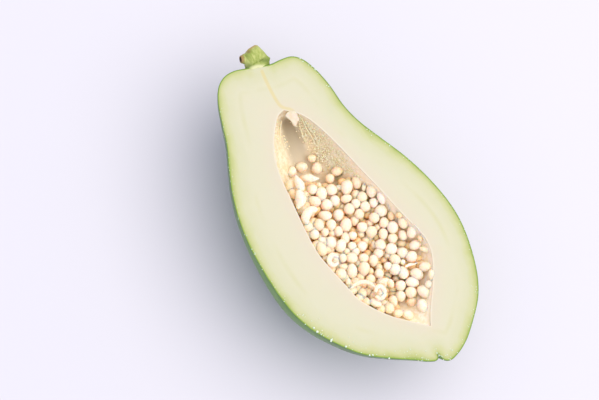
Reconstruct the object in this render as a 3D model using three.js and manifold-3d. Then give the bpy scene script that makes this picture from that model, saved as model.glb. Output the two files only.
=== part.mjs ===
// Half of an unripe papaya, cut along its length, lying on its curved back with the cut face up.
// Units are millimetres. +X runs from the stem end to the blossom end, +Z points up out of the cut face.
// The outlines are drawn with X = 0 at the stem base and Z = 0 at the cut plane,
// and the whole group is moved at the end so that its bounding box stands centred on the origin.
import * as THREE from 'three';
import { mergeVertices } from 'three/addons/utils/BufferGeometryUtils.js';
import Module from 'manifold-3d';

const wasm = await Module();
wasm.setup();

// Driving dimensions: outer outline on the cut plane
const RIM_RIGHT = [
  [-1, 0], [1.9, 8], [2.4, 15], [4.2, 22.8], [9, 27.8], [18, 31.6], [31.5, 34.2], [47, 35.1], [60, 38.2],
  [76, 44.8], [95, 52.8], [114.6, 58.5], [134, 61.5], [148, 61.2], [163, 58.1], [180, 52], [192.2, 44.4],
  [203, 32.6], [211.5, 20.5], [215.2, 10.8], [215.6, 4.8], [213.2, 1.4], [208.5, 0],
];
const RIM_LEFT = [
  [-1, 0], [-3.8, -8.3], [-6, -15.5], [-5.9, -22.5], [-2.6, -29], [5.5, -35], [18, -40.3], [31, -45.2],
  [45, -52.6], [59, -59.2], [75, -64.3], [92, -67.2], [110, -68.1], [127, -67.6], [140, -65.8], [154, -61],
  [170.4, -51.4], [183, -41.4], [193.7, -28.4], [203, -15.2], [209.3, -6.8], [210.9, -3.2], [210.3, -1],
  [208.5, 0],
];
// Driving dimensions: back of the fruit, as distance along and depth below the cut plane
const BACK = [
  [-1, 0], [-1.4, 7], [-0.8, 14], [1.4, 21], [5.6, 27.4], [12.4, 33], [23, 37.8], [36, 42.6], [52, 48],
  [68, 53.4], [83, 57.8], [97, 60.5], [109, 61.2], [124, 60.4], [141, 57.8], [158, 52.8], [175, 44.8],
  [190, 33.8], [201.5, 21], [208.6, 9.6], [210.8, 3], [208.5, 0],
];
// The widest line lies above the cut plane at the neck and just under it at the belly
const AXIS_DROP = { neck: -6.5, belly: 1.5 };
const RIB_HEIGHT = 0.9;
const REST_TRIM = 1.2;

// Driving dimensions: seed cavity
const CAVITY_RIGHT = [
  [30.5, -1], [33.1, 2.2], [37.6, 6.8], [43.7, 10.5], [55.1, 14.6], [67.9, 17.9], [85.5, 21.8], [103.1, 25.8],
  [121.3, 29.4], [134.5, 32.5], [143.4, 34.3], [152.2, 33.2], [160.7, 29], [171, 21.8], [180.6, 13.6],
  [187.4, 8.4], [191.3, 6],
];
const CAVITY_LEFT = [
  [30.5, -1], [31.4, -5.4], [35.7, -10.7], [43.1, -16.7], [54.1, -22.9], [65.9, -26.1], [83.2, -28.5],
  [103.3, -31.1], [117.5, -31.6], [126.9, -30.2], [140.6, -27.6], [153, -25], [163, -19.6], [171.9, -13.3],
  [181.5, -4.1], [187.6, 2.4], [191.3, 6],
];
const CAVITY_BACK = [
  [30.5, 0], [32, 5], [37, 10.5], [46, 15], [58, 18.8], [72, 22.4], [88, 25.6], [105, 28.2], [122, 29.4],
  [138, 28.8], [152, 26], [165, 20.8], [176, 14.4], [185, 7.6], [190.3, 2.4], [191.3, 0],
];
const CAVITY_OVERRUN = 9;
const FIT_GAP = 0.35;

// Driving dimensions: torn tongue of white pith over the tip of the cavity, at the cut plane
const TONGUE = [
  [28, -5.2], [32.7, -5.8], [33.5, -3.8], [35.9, -1.9], [38.3, -0.7], [41.8, -0.6], [43.3, 0.7], [41.2, 2.8],
  [40.5, 4.7], [36.8, 5.4], [34.4, 5.8], [31.3, 4.7], [28, 3],
];
const TONGUE_THICKNESS = 1.5;

// Driving dimensions: stub of the fruit stalk, as rings of [x, centre y, centre z, half width, half height]
const STALK_RINGS = [
  [4.5, 0.4, -4.2, 3.4, 2.6],
  [1.5, 1.4, -4.2, 7.2, 3.9],
  [-1.4, 1.4, -3.9, 8.4, 5],
  [-3.6, 1.6, -3.4, 8.1, 5.4],
  [-5.8, 1.5, -2.8, 7.7, 5.7],
  [-8.2, 1.7, -2.3, 7, 5.9],
  [-10.6, 2, -2, 6, 5.6],
  [-12.4, 2.9, -2, 4.6, 4.4],
  [-13.3, 3.6, -2, 2.8, 2.7],
];
const STALK_TOP = [-13.5, 3.7, -2];
const SCAR = { x: -9.4, y: -5, z: -2, way: [-0.35, -0.9, 0.1], radius: 2.6, pit: 1.2 };
const CALYX_LOBES = 6;

// Driving dimensions: line of sight down on the cut face, along which the seeds that show were measured
const SIGHT = {
  lean: 21.5,
  turn: 58.03,
  focal: 1800,
  middle: [299.5, 200],
  target: [82.43, -23.69, 0],
  step: 0.611,
};
// Driving dimensions: seeds that show, across and down along the sight in steps of 0.611 mm,
// half width, half height, lean in degrees, and layer, where 9 lies alone on the wall
const SEEN_SEEDS = [
  [312, 158.2, 4.2, 3.6, 0, 9], [301.6, 167.3, 5.6, 4.6, 0, 9], [317, 168.6, 5.2, 5.6, 0, 9],
  [292, 171.8, 4.2, 4.9, 10, 0], [290.3, 186, 4.6, 5.5, 0, 1], [329.8, 178.6, 4.2, 4.5, 0, 1],
  [337, 171.4, 5.6, 4.2, -25, 9], [346.6, 187.3, 5.6, 6.8, 12, 0], [356.6, 182.3, 4.7, 6, -12, 1],
  [371.5, 190.8, 5, 6, 0, 0], [331.2, 190, 5.5, 5.2, 0, 0], [339, 187.7, 4, 2.6, 0, 1],
  [312, 189, 4.8, 5, 0, 0], [318.5, 185.5, 2.8, 3, 0, 1], [321.2, 193.6, 5.5, 6.5, -15, 0],
  [334.8, 200.5, 4.6, 4.8, 0, 0], [346.2, 198.6, 5.4, 3.8, -15, 0], [355.7, 194.5, 4.4, 4.6, 0, 1],
  [362, 196.8, 5, 4.9, 0, 0], [373.5, 202.4, 4.4, 4.7, 0, 0], [381.5, 197.3, 4, 6.2, -15, 0],
  [314.4, 201.4, 6.4, 4.8, 10, 0], [326.6, 205, 5.6, 5, -20, 0], [355.7, 203.6, 4.6, 4.6, 0, 0],
  [365, 206.4, 4.9, 5.1, 0, 0], [349.2, 209, 5.1, 5.2, 0, 0], [380.8, 210.8, 5.9, 5.6, 0, 0],
  [325.1, 215.7, 6.4, 4.6, 5, 0], [338.3, 215, 5, 5.3, 0, 0], [359.1, 214, 4.7, 4.7, 0, 0],
  [374.2, 217.8, 5, 4.8, 20, 0], [308.3, 226.7, 4.4, 4.4, 0, 0], [318.3, 225, 5.4, 5.6, 0, 0],
  [314.4, 234.6, 4.4, 4.5, 0, 0], [324.7, 232.2, 3.8, 4, 0, 0], [331, 224.8, 4.8, 5.3, 0, 0],
  [338.3, 231.4, 4.2, 4.8, 0, 0], [331.7, 233.4, 3.4, 3.4, 0, 1], [345.6, 225, 5.4, 6.6, 15, 0],
  [354.4, 220.6, 4.2, 4.6, 0, 1], [362, 227.2, 5, 4.9, 0, 0], [352.4, 235.5, 4.4, 3.8, 0, 0],
  [345, 238.3, 4.2, 5.2, 0, 0], [383.7, 222.8, 4.6, 4.9, 0, 0], [371.3, 231.7, 5.4, 5.4, 0, 0],
  [369.4, 223.3, 3.4, 3.2, 0, 1], [377.4, 227.2, 3, 3, 0, 1], [361, 234, 3.4, 3.4, 0, 1],
  [369, 236.7, 4, 3.5, 0, 1], [383.1, 233.9, 4.3, 5.3, 0, 0], [392.6, 227.2, 5.5, 5.9, 0, 0],
  [392.4, 238.3, 4.7, 4.5, 0, 0], [402.8, 235.2, 4.2, 5, -20, 0], [402.8, 221.7, 4.6, 6.6, -15, 0],
  [412.2, 231.1, 4.8, 6.7, 15, 0], [415, 245, 6, 4.6, -20, 0], [425.6, 249.4, 6, 2.7, 10, 0],
  [402.2, 252.5, 5.2, 5, 0, 0], [411.4, 256.7, 5.7, 5.3, -25, 0], [402.8, 262.2, 2.6, 2.6, 0, 0],
  [390.9, 248.9, 5.9, 5.4, 0, 0], [387.8, 255, 3.6, 3.5, 0, 1], [395, 259.2, 5.6, 4.4, 40, 0],
  [378.3, 253.3, 4.6, 4.5, 0, 0], [380.2, 245, 5.4, 5, 0, 0], [373.9, 245, 3.2, 3.8, 0, 1],
  [362, 246.3, 4.7, 4.8, 0, 0], [365.5, 240.5, 3.4, 3, 0, 1], [352, 246.2, 4.3, 4.2, 0, 0],
  [340.5, 246, 5, 6, 20, 0], [330.5, 242.8, 5.4, 5.6, 0, 0], [321.7, 249.4, 4.6, 6.6, -25, 0],
  [321.4, 240, 3.4, 3, 0, 0], [351.7, 258.3, 5.7, 4.8, 0, 0], [355.5, 251.6, 3.8, 3.8, 0, 0],
  [346, 251.7, 4, 3.6, 0, 1], [342.6, 258.3, 3.8, 4.2, 0, 0], [363.3, 258.3, 5, 4.8, 0, 0],
  [373.3, 260.5, 4.4, 5.4, 0, 0], [387.8, 266, 4, 4, 0, 0], [395, 269.4, 5.7, 5.6, 0, 0],
  [403.3, 272.8, 5, 6, -20, 0], [378.9, 267.8, 3.6, 3.8, 0, 1], [378.9, 273.9, 4.3, 4.8, -10, 0],
  [363.9, 269, 5.5, 6.8, 10, 0], [351.7, 271.3, 5.2, 6.8, 0, 0], [370.5, 271.7, 3.2, 3.6, 0, 1],
  [341.1, 273.9, 5.4, 4.5, 35, 0], [343, 267, 3.8, 2.8, 0, 0], [348.3, 281.7, 2.6, 3, 0, 0],
  [370.5, 279.4, 4.6, 4.4, 0, 0], [360, 277.5, 4, 3.6, 0, 1], [381.7, 283.3, 5.2, 5.2, 0, 0],
  [371.5, 286, 4.8, 4.2, 0, 1], [390.5, 283.3, 3.4, 4.3, -30, 0], [400.5, 285.5, 5, 5, 0, 0],
  [412.2, 282.2, 6.5, 4.7, 8, 0], [416.7, 273.9, 6.6, 5.2, 30, 0], [425.5, 266.7, 6.6, 4.5, -5, 0],
  [431.5, 274.5, 3, 5, 0, 1], [429.2, 284.4, 4.4, 3.8, 0, 0], [423.9, 291.7, 6.9, 5.1, 40, 0],
  [410.9, 292.2, 5.6, 5.2, 0, 0], [411.4, 301.7, 4.9, 4.5, 0, 1], [400.5, 296.1, 4.7, 5, 0, 0],
  [422.8, 306, 5.2, 7, -22, 0], [393.3, 301, 4, 5.2, -15, 0], [389.2, 308.3, 5, 4.8, 0, 0],
  [362.2, 293.3, 4.4, 4.9, 0, 1], [397.8, 313.3, 4.8, 3.8, 0, 0], [407.6, 315, 5.8, 4.2, 25, 0],
  [375.5, 302.8, 6, 3.6, 20, 0], [383.5, 304, 3.6, 4, 0, 1], [304.5, 194.5, 4, 3.4, 0, 1],
  [325, 258, 2.8, 2.6, 0, 1], [358, 263.5, 3, 3, 0, 1], [299, 183.2, 4.6, 6.6, -15, 0],
  [311, 178.2, 6.2, 4.2, 0, 1], [300, 199.6, 5.4, 7.8, 0, 0], [311, 211, 5.6, 4.4, -25, 0],
  [306.4, 218, 4.7, 5.4, 0, 0], [333, 260, 5.6, 6.2, 0, 0], [380, 293, 5.8, 6.6, 0, 0],
  [361.6, 282.6, 7, 2.8, -5, 0],
];
const LAYER_DEPTH = 2.3;
const SEED_NESTLE = 0.8;
const SEED_SWELL = 1.13;

function smoothCurve(points) {
  const spots = points.map(([a, b]) => new THREE.Vector3(a, b, 0));
  const curve = new THREE.CatmullRomCurve3(spots, false, 'centripetal');
  curve.arcLengthDivisions = 400;
  return curve;
}

function easedSteps(count) {
  const steps = [];
  for (let i = 0; i <= count; i += 1) {
    const t = i / count;
    steps.push(t - 0.085 * Math.sin(2 * Math.PI * t));
  }
  return steps;
}

// One lengthwise station of a half fruit: its cross-section from the right rim, under the back, to the left
function section(curves, u, angle, options) {
  const right = curves.right.getPointAt(u);
  const left = curves.left.getPointAt(u);
  const back = curves.back.getPointAt(u);
  const fade = Math.sin(Math.PI * u) ** 2;
  const towardBelly = Math.min(1, Math.max(0, (u - 0.42) / 0.2));
  const belly = towardBelly * towardBelly * (3 - 2 * towardBelly);
  const widest = options.drop.neck * (1 - belly) + options.drop.belly * belly;
  const drop = widest * Math.min(1, 2.2 * Math.sin(Math.PI * u));
  const centre = options.centred ? ((right.y + left.y) / 2) * (2 * u - 1) ** 6 : 0;
  const start = Math.asin(Math.min(0.9, drop / Math.max(back.y - drop, 1)));
  const turn = -start + angle * (1 + (2 * start) / Math.PI);
  const side = Math.cos(turn) > 0 ? right : left;
  const across = Math.abs(Math.cos(turn));
  const share = Math.min(1, (across / Math.cos(start)) ** 2);
  const under = Math.sin(angle);
  const rib = 1 + (options.rib * fade * under * under * Math.cos(5 * angle - 2.5 * Math.PI)) / 60;
  return [
    back.x * (1 - share) + side.x * share,
    centre + ((side.y - centre) * across * rib) / Math.cos(start),
    (-drop - (back.y - drop) * Math.sin(turn)) * rib,
  ];
}

// A closed half solid whose flat top lies at height `top`
function halfSolid(outline, lengthSteps, roundSteps, options) {
  const curves = {
    right: smoothCurve(outline.right),
    left: smoothCurve(outline.left),
    back: smoothCurve(outline.back),
  };
  const steps = easedSteps(lengthSteps);
  const positions = [];
  const rows = [];
  for (let i = 0; i <= lengthSteps; i += 1) {
    const row = [];
    if (i === 0 || i === lengthSteps) {
      const pole = curves.right.getPointAt(i === 0 ? 0 : 1);
      row.push(positions.push([pole.x, pole.y, 0]) - 1);
      if (options.top > 0) {
        row.push(positions.push([pole.x, pole.y, options.top]) - 1);
      }
      rows.push(row);
      continue;
    }
    for (let j = 0; j <= roundSteps; j += 1) {
      row.push(positions.push(section(curves, steps[i], (Math.PI * j) / roundSteps, options)) - 1);
    }
    if (options.top > 0) {
      const first = positions[row[0]];
      const last = positions[row[roundSteps]];
      row.unshift(positions.push([first[0], first[1], options.top]) - 1);
      row.push(positions.push([last[0], last[1], options.top]) - 1);
    }
    rows.push(row);
  }
  const faces = outwardFaces(positions, halfFaces(rows, options.top > 0));
  return toManifold(options.inset > 0 ? pulledIn(positions, faces, options.inset) : positions, faces);
}

// The same points moved inward along their surface normals
function pulledIn(positions, faces, distance) {
  const normals = positions.map(() => new THREE.Vector3());
  const corner = (index) => new THREE.Vector3(...positions[index]);
  for (const [a, b, c] of faces) {
    const normal = corner(b).sub(corner(a)).cross(corner(c).sub(corner(a))).normalize();
    normals[a].add(normal);
    normals[b].add(normal);
    normals[c].add(normal);
  }
  return positions.map((point, index) => {
    const step = normals[index].normalize().multiplyScalar(distance);
    return [point[0] - step.x, point[1] - step.y, point[2] - step.z];
  });
}

function halfFaces(rows, raised) {
  const faces = [];
  const inner = rows.slice(1, -1);
  for (let i = 0; i + 1 < inner.length; i += 1) {
    const near = inner[i];
    const far = inner[i + 1];
    for (let j = 0; j + 1 < near.length; j += 1) {
      faces.push([near[j], near[j + 1], far[j + 1]], [near[j], far[j + 1], far[j]]);
    }
    const end = near.length - 1;
    faces.push([near[end], near[0], far[0]], [near[end], far[0], far[end]]);
  }
  closeEnd(faces, inner[0], rows[0], raised, false);
  closeEnd(faces, inner[inner.length - 1], rows[rows.length - 1], raised, true);
  return faces;
}

// Fan from the pole to the first or last station; a raised top has a second pole above the first
function closeEnd(faces, ring, pole, raised, far) {
  const add = (a, b, c) => faces.push(far ? [b, a, c] : [a, b, c]);
  const end = ring.length - 1;
  const top = raised ? pole[1] : pole[0];
  for (let j = 0; j < end; j += 1) {
    const outerQuad = raised && (j === 0 || j === end - 1);
    if (!outerQuad) {
      add(ring[j + 1], ring[j], pole[0]);
    } else if (j === 0) {
      add(ring[1], ring[0], pole[0]);
      add(ring[0], top, pole[0]);
    } else {
      add(ring[end], ring[end - 1], pole[0]);
      add(top, ring[end], pole[0]);
    }
  }
  add(ring[0], ring[end], top);
}

function outwardFaces(positions, faces) {
  const corner = (index) => new THREE.Vector3(...positions[index]);
  const volume = faces.reduce((sum, [a, b, c]) => sum + corner(a).dot(corner(b).cross(corner(c))), 0);
  return volume < 0 ? faces.map(([a, b, c]) => [a, c, b]) : faces;
}

function toManifold(positions, faces) {
  return new wasm.Manifold(new wasm.Mesh({
    numProp: 3,
    vertProperties: Float32Array.from(positions.flat()),
    triVerts: Uint32Array.from(outwardFaces(positions, faces).flat()),
  }));
}

function prism(outline, low, high) {
  const positions = [];
  for (const height of [low, high]) {
    for (const [x, y] of outline) {
      positions.push([x, y, height]);
    }
  }
  const count = outline.length;
  const caps = THREE.ShapeUtils.triangulateShape(outline.map(([x, y]) => new THREE.Vector2(x, y)), []);
  const faces = [];
  for (const [a, b, c] of caps) {
    faces.push([a, c, b], [a + count, b + count, c + count]);
  }
  for (let i = 0; i < count; i += 1) {
    const next = (i + 1) % count;
    faces.push([i, next, next + count], [i, next + count, i + count]);
  }
  return toManifold(positions, faces);
}

// Ellipsoid with few sides, its long axis first along X, then turned and placed
function ovoid(radii, place, turn, sides, bands) {
  const positions = [[radii[0], 0, 0]];
  for (let band = 1; band < bands; band += 1) {
    const tilt = (Math.PI * band) / bands;
    for (let side = 0; side < sides; side += 1) {
      const around = (2 * Math.PI * (side + (band % 2) / 2)) / sides;
      positions.push([
        radii[0] * Math.cos(tilt),
        radii[1] * Math.sin(tilt) * Math.cos(around),
        radii[2] * Math.sin(tilt) * Math.sin(around),
      ]);
    }
  }
  const last = positions.push([-radii[0], 0, 0]) - 1;
  const faces = [];
  for (let side = 0; side < sides; side += 1) {
    const next = (side + 1) % sides;
    faces.push([0, 1 + side, 1 + next]);
    faces.push([last, last - sides + next, last - sides + side]);
    for (let band = 0; band + 2 < bands; band += 1) {
      const near = 1 + band * sides;
      const far = near + sides;
      faces.push([near + side, far + side, far + next], [near + side, far + next, near + next]);
    }
  }
  const matrix = turn.clone().setPosition(...place);
  const placed = positions.map((point) => new THREE.Vector3(...point).applyMatrix4(matrix).toArray());
  return toManifold(placed, faces);
}

function union(pieces) {
  return wasm.Manifold.union(pieces);
}

// Stub of the stalk; `grow` widens it to make its socket in the fruit
function stalkSolid(grow) {
  const sides = 20;
  const positions = [];
  STALK_RINGS.forEach(([x, y, z, wide, high], ring) => {
    const along = ring === 0 ? x + grow : x;
    for (let side = 0; side < sides; side += 1) {
      const angle = (2 * Math.PI * side) / sides;
      const ridge = 1 + 0.035 * Math.cos(5 * angle);
      const aside = (wide * ridge + grow) * Math.cos(angle);
      const above = (high * ridge + grow) * Math.sin(angle);
      positions.push([along, y + aside, z + above]);
    }
  });
  const rings = STALK_RINGS.length;
  const root = STALK_RINGS[0];
  const rootPole = positions.push([root[0] + 0.8 + grow, root[1], root[2]]) - 1;
  const topPole = positions.push([STALK_TOP[0] - grow, STALK_TOP[1], STALK_TOP[2]]) - 1;
  const faces = [];
  for (let side = 0; side < sides; side += 1) {
    const next = (side + 1) % sides;
    faces.push([rootPole, side, next]);
    faces.push([topPole, (rings - 1) * sides + next, (rings - 1) * sides + side]);
    for (let ring = 0; ring + 1 < rings; ring += 1) {
      const near = ring * sides;
      const far = near + sides;
      faces.push([near + side, far + side, far + next], [near + side, far + next, near + next]);
    }
  }
  return toManifold(positions, faces);
}

function calyxLobe(index, grow) {
  const angle = (2 * Math.PI * (index + 0.35)) / CALYX_LOBES;
  const place = [-1.6, 1.4 + 7.3 * Math.cos(angle), -3.8 + 4.9 * Math.sin(angle)];
  return ovoid([1.9 + grow, 1.5 + grow, 1.5 + grow], place, new THREE.Matrix4(), 8, 6);
}

// The knife passed through the base of the stalk but left its upper part whole
function stalkWithLobes(grow) {
  const lobes = [];
  for (let index = 0; index < CALYX_LOBES; index += 1) {
    lobes.push(calyxLobe(index, grow));
  }
  const slice = prism([[-3.4, -20], [20, -20], [20, 20], [-2.2, 20]], grow > 0 ? 30 : 0, 40);
  return union([stalkSolid(grow), ...lobes]).subtract(slice);
}

// The stump of a broken side bud leans out of the stalk and has a hollow end
function buildStalk() {
  const outward = new THREE.Vector3(...SCAR.way).normalize();
  const turn = new THREE.Matrix4().makeRotationFromQuaternion(
    new THREE.Quaternion().setFromUnitVectors(new THREE.Vector3(1, 0, 0), outward),
  );
  const at = (out) => new THREE.Vector3(SCAR.x, SCAR.y, SCAR.z).addScaledVector(outward, out).toArray();
  const scar = ovoid([3.6, SCAR.radius, SCAR.radius * 0.9], at(-0.9), turn, 10, 8);
  const pit = ovoid([SCAR.pit * 1.4, SCAR.pit, SCAR.pit], at(2.4), turn, 8, 6);
  return stalkWithLobes(0).add(scar).subtract(pit);
}

function cavitySolid(inset) {
  const outline = { right: CAVITY_RIGHT, left: CAVITY_LEFT, back: CAVITY_BACK };
  const options = { drop: { neck: 0, belly: 0 }, rib: 0, top: CAVITY_OVERRUN, inset, centred: true };
  return halfSolid(outline, 28, 14, options);
}

function buildFruit() {
  const outline = { right: RIM_RIGHT, left: RIM_LEFT, back: BACK };
  const options = { drop: AXIS_DROP, rib: RIB_HEIGHT, top: 0, inset: 0, centred: false };
  const body = halfSolid(outline, 46, 26, options);
  const tongue = prism(TONGUE, -TONGUE_THICKNESS, 0);
  const deepest = Math.max(...BACK.map(([, depth]) => depth));
  const around = [[-40, -90], [240, -90], [240, 90], [-40, 90]];
  const belowRest = prism(around, -deepest - 20, -deepest + REST_TRIM);
  const cut = body.subtract(cavitySolid(0)).add(tongue).subtract(stalkWithLobes(FIT_GAP)).subtract(belowRest);
  return cut.simplify(0.02);
}

// How high the seeds are heaped: high along the left edge, low in the middle, lower than the right edge
function heapHeight(x, y, widths) {
  const width = widths.halfWidth(x);
  const offset = Math.min(1, Math.max(-1, (y - width.middle) / Math.max(width.half, 1)));
  const rightEdge = -8.5 + 5 * Math.min(1, Math.max(0, (x - 142) / 18));
  const edge = offset < 0 ? -3 : rightEdge;
  const height = -12 + (edge + 12) * Math.abs(offset) ** 1.7;
  const front = x - (58 + 0.42 * (y + 26));
  const slope = 9 * (1 - Math.min(1, Math.max(0, front / 14))) ** 2;
  return height - slope - 4 * Math.min(1, Math.max(0, (x - 172) / 10));
}

// Left and right edge of the cavity at a station, read from its outlines
function cavityWidths() {
  const table = (points) => (x) => {
    for (let i = 0; i + 1 < points.length; i += 1) {
      if (x <= points[i + 1][0]) {
        const share = Math.max(0, (x - points[i][0]) / (points[i + 1][0] - points[i][0]));
        return points[i][1] + (points[i + 1][1] - points[i][1]) * share;
      }
    }
    return points[points.length - 1][1];
  };
  const right = table(CAVITY_RIGHT);
  const left = table(CAVITY_LEFT);
  const back = table(CAVITY_BACK);
  return {
    halfWidth: (x) => ({ middle: (right(x) + left(x)) / 2, half: (right(x) - left(x)) / 2 }),
    depth: (x) => back(x),
  };
}

function wallDepth(x, y, widths) {
  const width = widths.halfWidth(x);
  const offset = Math.min(1, Math.abs((y - width.middle) / Math.max(width.half, 1)));
  return -widths.depth(x) * Math.sqrt(1 - offset * offset);
}

// The sight's own axes and its eye
function sightAxes() {
  const radians = Math.PI / 180;
  const back = new THREE.Vector3(0, -Math.sin(SIGHT.lean * radians), Math.cos(SIGHT.lean * radians));
  const along = new THREE.Vector3(1, 0, 0);
  const over = back.clone().cross(along);
  const [cosine, sine] = [Math.cos(SIGHT.turn * radians), Math.sin(SIGHT.turn * radians)];
  const right = along.clone().multiplyScalar(cosine).addScaledVector(over, sine);
  const up = over.clone().multiplyScalar(cosine).addScaledVector(along, -sine);
  const eye = new THREE.Vector3(...SIGHT.target).addScaledVector(back, SIGHT.focal * SIGHT.step);
  return { back, right, up, eye };
}

// The point at a depth under the cut plane that shows at a place of the sight
function seenPoint(axes, across, down, depth) {
  const ray = axes.back.clone().negate();
  ray.addScaledVector(axes.right, (across - SIGHT.middle[0]) / SIGHT.focal);
  ray.addScaledVector(axes.up, (SIGHT.middle[1] - down) / SIGHT.focal);
  return axes.eye.clone().addScaledVector(ray, (-depth - axes.eye.z) / ray.z);
}

// Depth of a seed: on the heap's top or under it, or on the wall where it lies alone
function seedDepth(axes, widths, across, down, radius, layer) {
  let depth = 3;
  for (let round = 0; round < 6; round += 1) {
    const spot = seenPoint(axes, across, down, depth);
    const x = Math.min(190, Math.max(31, spot.x));
    const low = wallDepth(x, spot.y, widths) + 0.75 * radius;
    const top = layer === 9 ? low : heapHeight(x, spot.y, widths) - LAYER_DEPTH * layer;
    depth = 0.5 * depth - 0.5 * Math.min(-0.6 * radius, Math.max(top, low));
  }
  return depth;
}

// Each seed that shows, moved down its line of sight until it rests clear of those before it
function placeSeeds(axes, widths) {
  const placed = [];
  const order = [...SEEN_SEEDS].sort((first, second) => (first[5] % 9) - (second[5] % 9));
  for (const [across, down, wide, high, lean, layer] of order) {
    const size = [wide, high, Math.min(wide, high)].map((value) => value * SIGHT.step);
    const radius = (size[0] + size[1] + size[2]) / 3;
    let depth = seedDepth(axes, widths, across, down, radius, layer);
    let at = seenPoint(axes, across, down, depth);
    const crowded = (other) => at.distanceTo(other.at) < SEED_NESTLE * (radius + other.radius);
    for (let round = 0; round < 13 && placed.some(crowded); round += 1) {
      depth += 0.4;
      at = seenPoint(axes, across, down, depth);
    }
    placed.push({ at, size, radius, lean });
  }
  return placed;
}

// The hidden lower layers of seeds and their placental bed, as one core that carries the visible ones
function seedCore(widths) {
  const positions = [];
  const faces = [];
  const lengthSteps = 20;
  const crossSteps = 10;
  for (const under of [false, true]) {
    for (let i = 0; i <= lengthSteps; i += 1) {
      const x = 58 + (131 * i) / lengthSteps;
      const width = widths.halfWidth(x);
      for (let j = 0; j <= crossSteps; j += 1) {
        const y = width.middle + (width.half + 3) * ((2 * j) / crossSteps - 1);
        const front = x > 59 && x < 90 && Math.abs(y - width.middle) < 0.75 * width.half;
        const film = front ? wallDepth(x, y, widths) + 1.7 : -60;
        const floor = Math.max(heapHeight(x, y, widths) - 1.9, film);
        positions.push([x, y, under ? -60 : floor]);
      }
    }
  }
  const rowLength = crossSteps + 1;
  const lower = (lengthSteps + 1) * rowLength;
  const quad = (a, b, c, d) => faces.push([a, b, c], [a, c, d]);
  for (let i = 0; i < lengthSteps; i += 1) {
    for (let j = 0; j < crossSteps; j += 1) {
      const a = i * rowLength + j;
      quad(a, a + rowLength, a + rowLength + 1, a + 1);
      quad(lower + a, lower + a + 1, lower + a + rowLength + 1, lower + a + rowLength);
    }
    const near = i * rowLength;
    const far = near + rowLength;
    quad(near, lower + near, lower + far, far);
    quad(near + crossSteps, far + crossSteps, lower + far + crossSteps, lower + near + crossSteps);
  }
  for (let j = 0; j < crossSteps; j += 1) {
    const end = lengthSteps * rowLength + j;
    quad(j, j + 1, lower + j + 1, lower + j);
    quad(end, lower + end, lower + end + 1, end + 1);
  }
  return toManifold(positions, faces);
}

function buildSeeds() {
  const widths = cavityWidths();
  const axes = sightAxes();
  const basis = new THREE.Matrix4().makeBasis(axes.right, axes.up, axes.back);
  const seeds = placeSeeds(axes, widths).map(({ at, size, lean }) => {
    const turn = basis.clone().multiply(new THREE.Matrix4().makeRotationZ((-lean * Math.PI) / 180));
    return ovoid(size.map((value) => value * SEED_SWELL), at.toArray(), turn, 5, 4);
  });
  const heap = union([seedCore(widths), ...seeds]).simplify(0.1);
  const bodies = heap.intersect(cavitySolid(FIT_GAP)).decompose();
  bodies.sort((first, second) => second.volume() - first.volume());
  return bodies[0];
}

function toMesh(solid, name, colour, roughness) {
  const made = solid.getMesh();
  const geometry = new THREE.BufferGeometry();
  const positions = new Float32Array(made.numVert * 3);
  for (let vertex = 0; vertex < made.numVert; vertex += 1) {
    for (let axis = 0; axis < 3; axis += 1) {
      positions[vertex * 3 + axis] = made.vertProperties[vertex * made.numProp + axis];
    }
  }
  geometry.setAttribute('position', new THREE.BufferAttribute(positions, 3));
  geometry.setIndex(new THREE.BufferAttribute(Uint32Array.from(made.triVerts), 1));
  const merged = mergeVertices(geometry, 1e-4);
  const material = new THREE.MeshStandardMaterial({ color: colour, roughness, metalness: 0 });
  const mesh = new THREE.Mesh(merged, material);
  mesh.name = name;
  return mesh;
}

function buildPapaya() {
  const group = new THREE.Group();
  group.name = 'papaya';
  group.add(toMesh(buildFruit(), 'fruit_half', 0xdfe3ae, 0.55));
  group.add(toMesh(buildStalk(), 'stem', 0x9fb35a, 0.7));
  group.add(toMesh(buildSeeds(), 'seeds', 0xf0dcc4, 0.5));
  const box = new THREE.Box3().setFromObject(group);
  const shift = new THREE.Vector3((box.min.x + box.max.x) / 2, (box.min.y + box.max.y) / 2, box.min.z);
  for (const mesh of group.children) {
    mesh.geometry.translate(-shift.x, -shift.y, -shift.z);
  }
  return group;
}

export default buildPapaya();
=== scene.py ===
import math

import bpy
import numpy as np
from mathutils import Euler, Matrix, Vector


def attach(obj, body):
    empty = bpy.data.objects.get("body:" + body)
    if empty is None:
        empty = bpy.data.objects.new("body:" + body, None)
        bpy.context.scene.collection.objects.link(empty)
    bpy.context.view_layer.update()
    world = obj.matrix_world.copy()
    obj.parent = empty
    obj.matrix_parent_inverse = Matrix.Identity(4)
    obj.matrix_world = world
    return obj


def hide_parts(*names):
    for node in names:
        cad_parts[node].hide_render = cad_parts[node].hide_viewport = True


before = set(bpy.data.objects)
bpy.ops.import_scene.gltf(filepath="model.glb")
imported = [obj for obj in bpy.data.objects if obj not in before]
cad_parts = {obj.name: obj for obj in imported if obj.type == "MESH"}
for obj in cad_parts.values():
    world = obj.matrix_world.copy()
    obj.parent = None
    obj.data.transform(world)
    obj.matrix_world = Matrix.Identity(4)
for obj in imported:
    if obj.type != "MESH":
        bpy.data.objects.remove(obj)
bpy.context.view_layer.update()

# Where the drawing's own origin, the stalk's base on the cut plane, lies in the row frame, in millimetres
DRAWING_SHIFT = np.array([-101.05, 3.17, 60.0])
MM = 0.001

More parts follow.
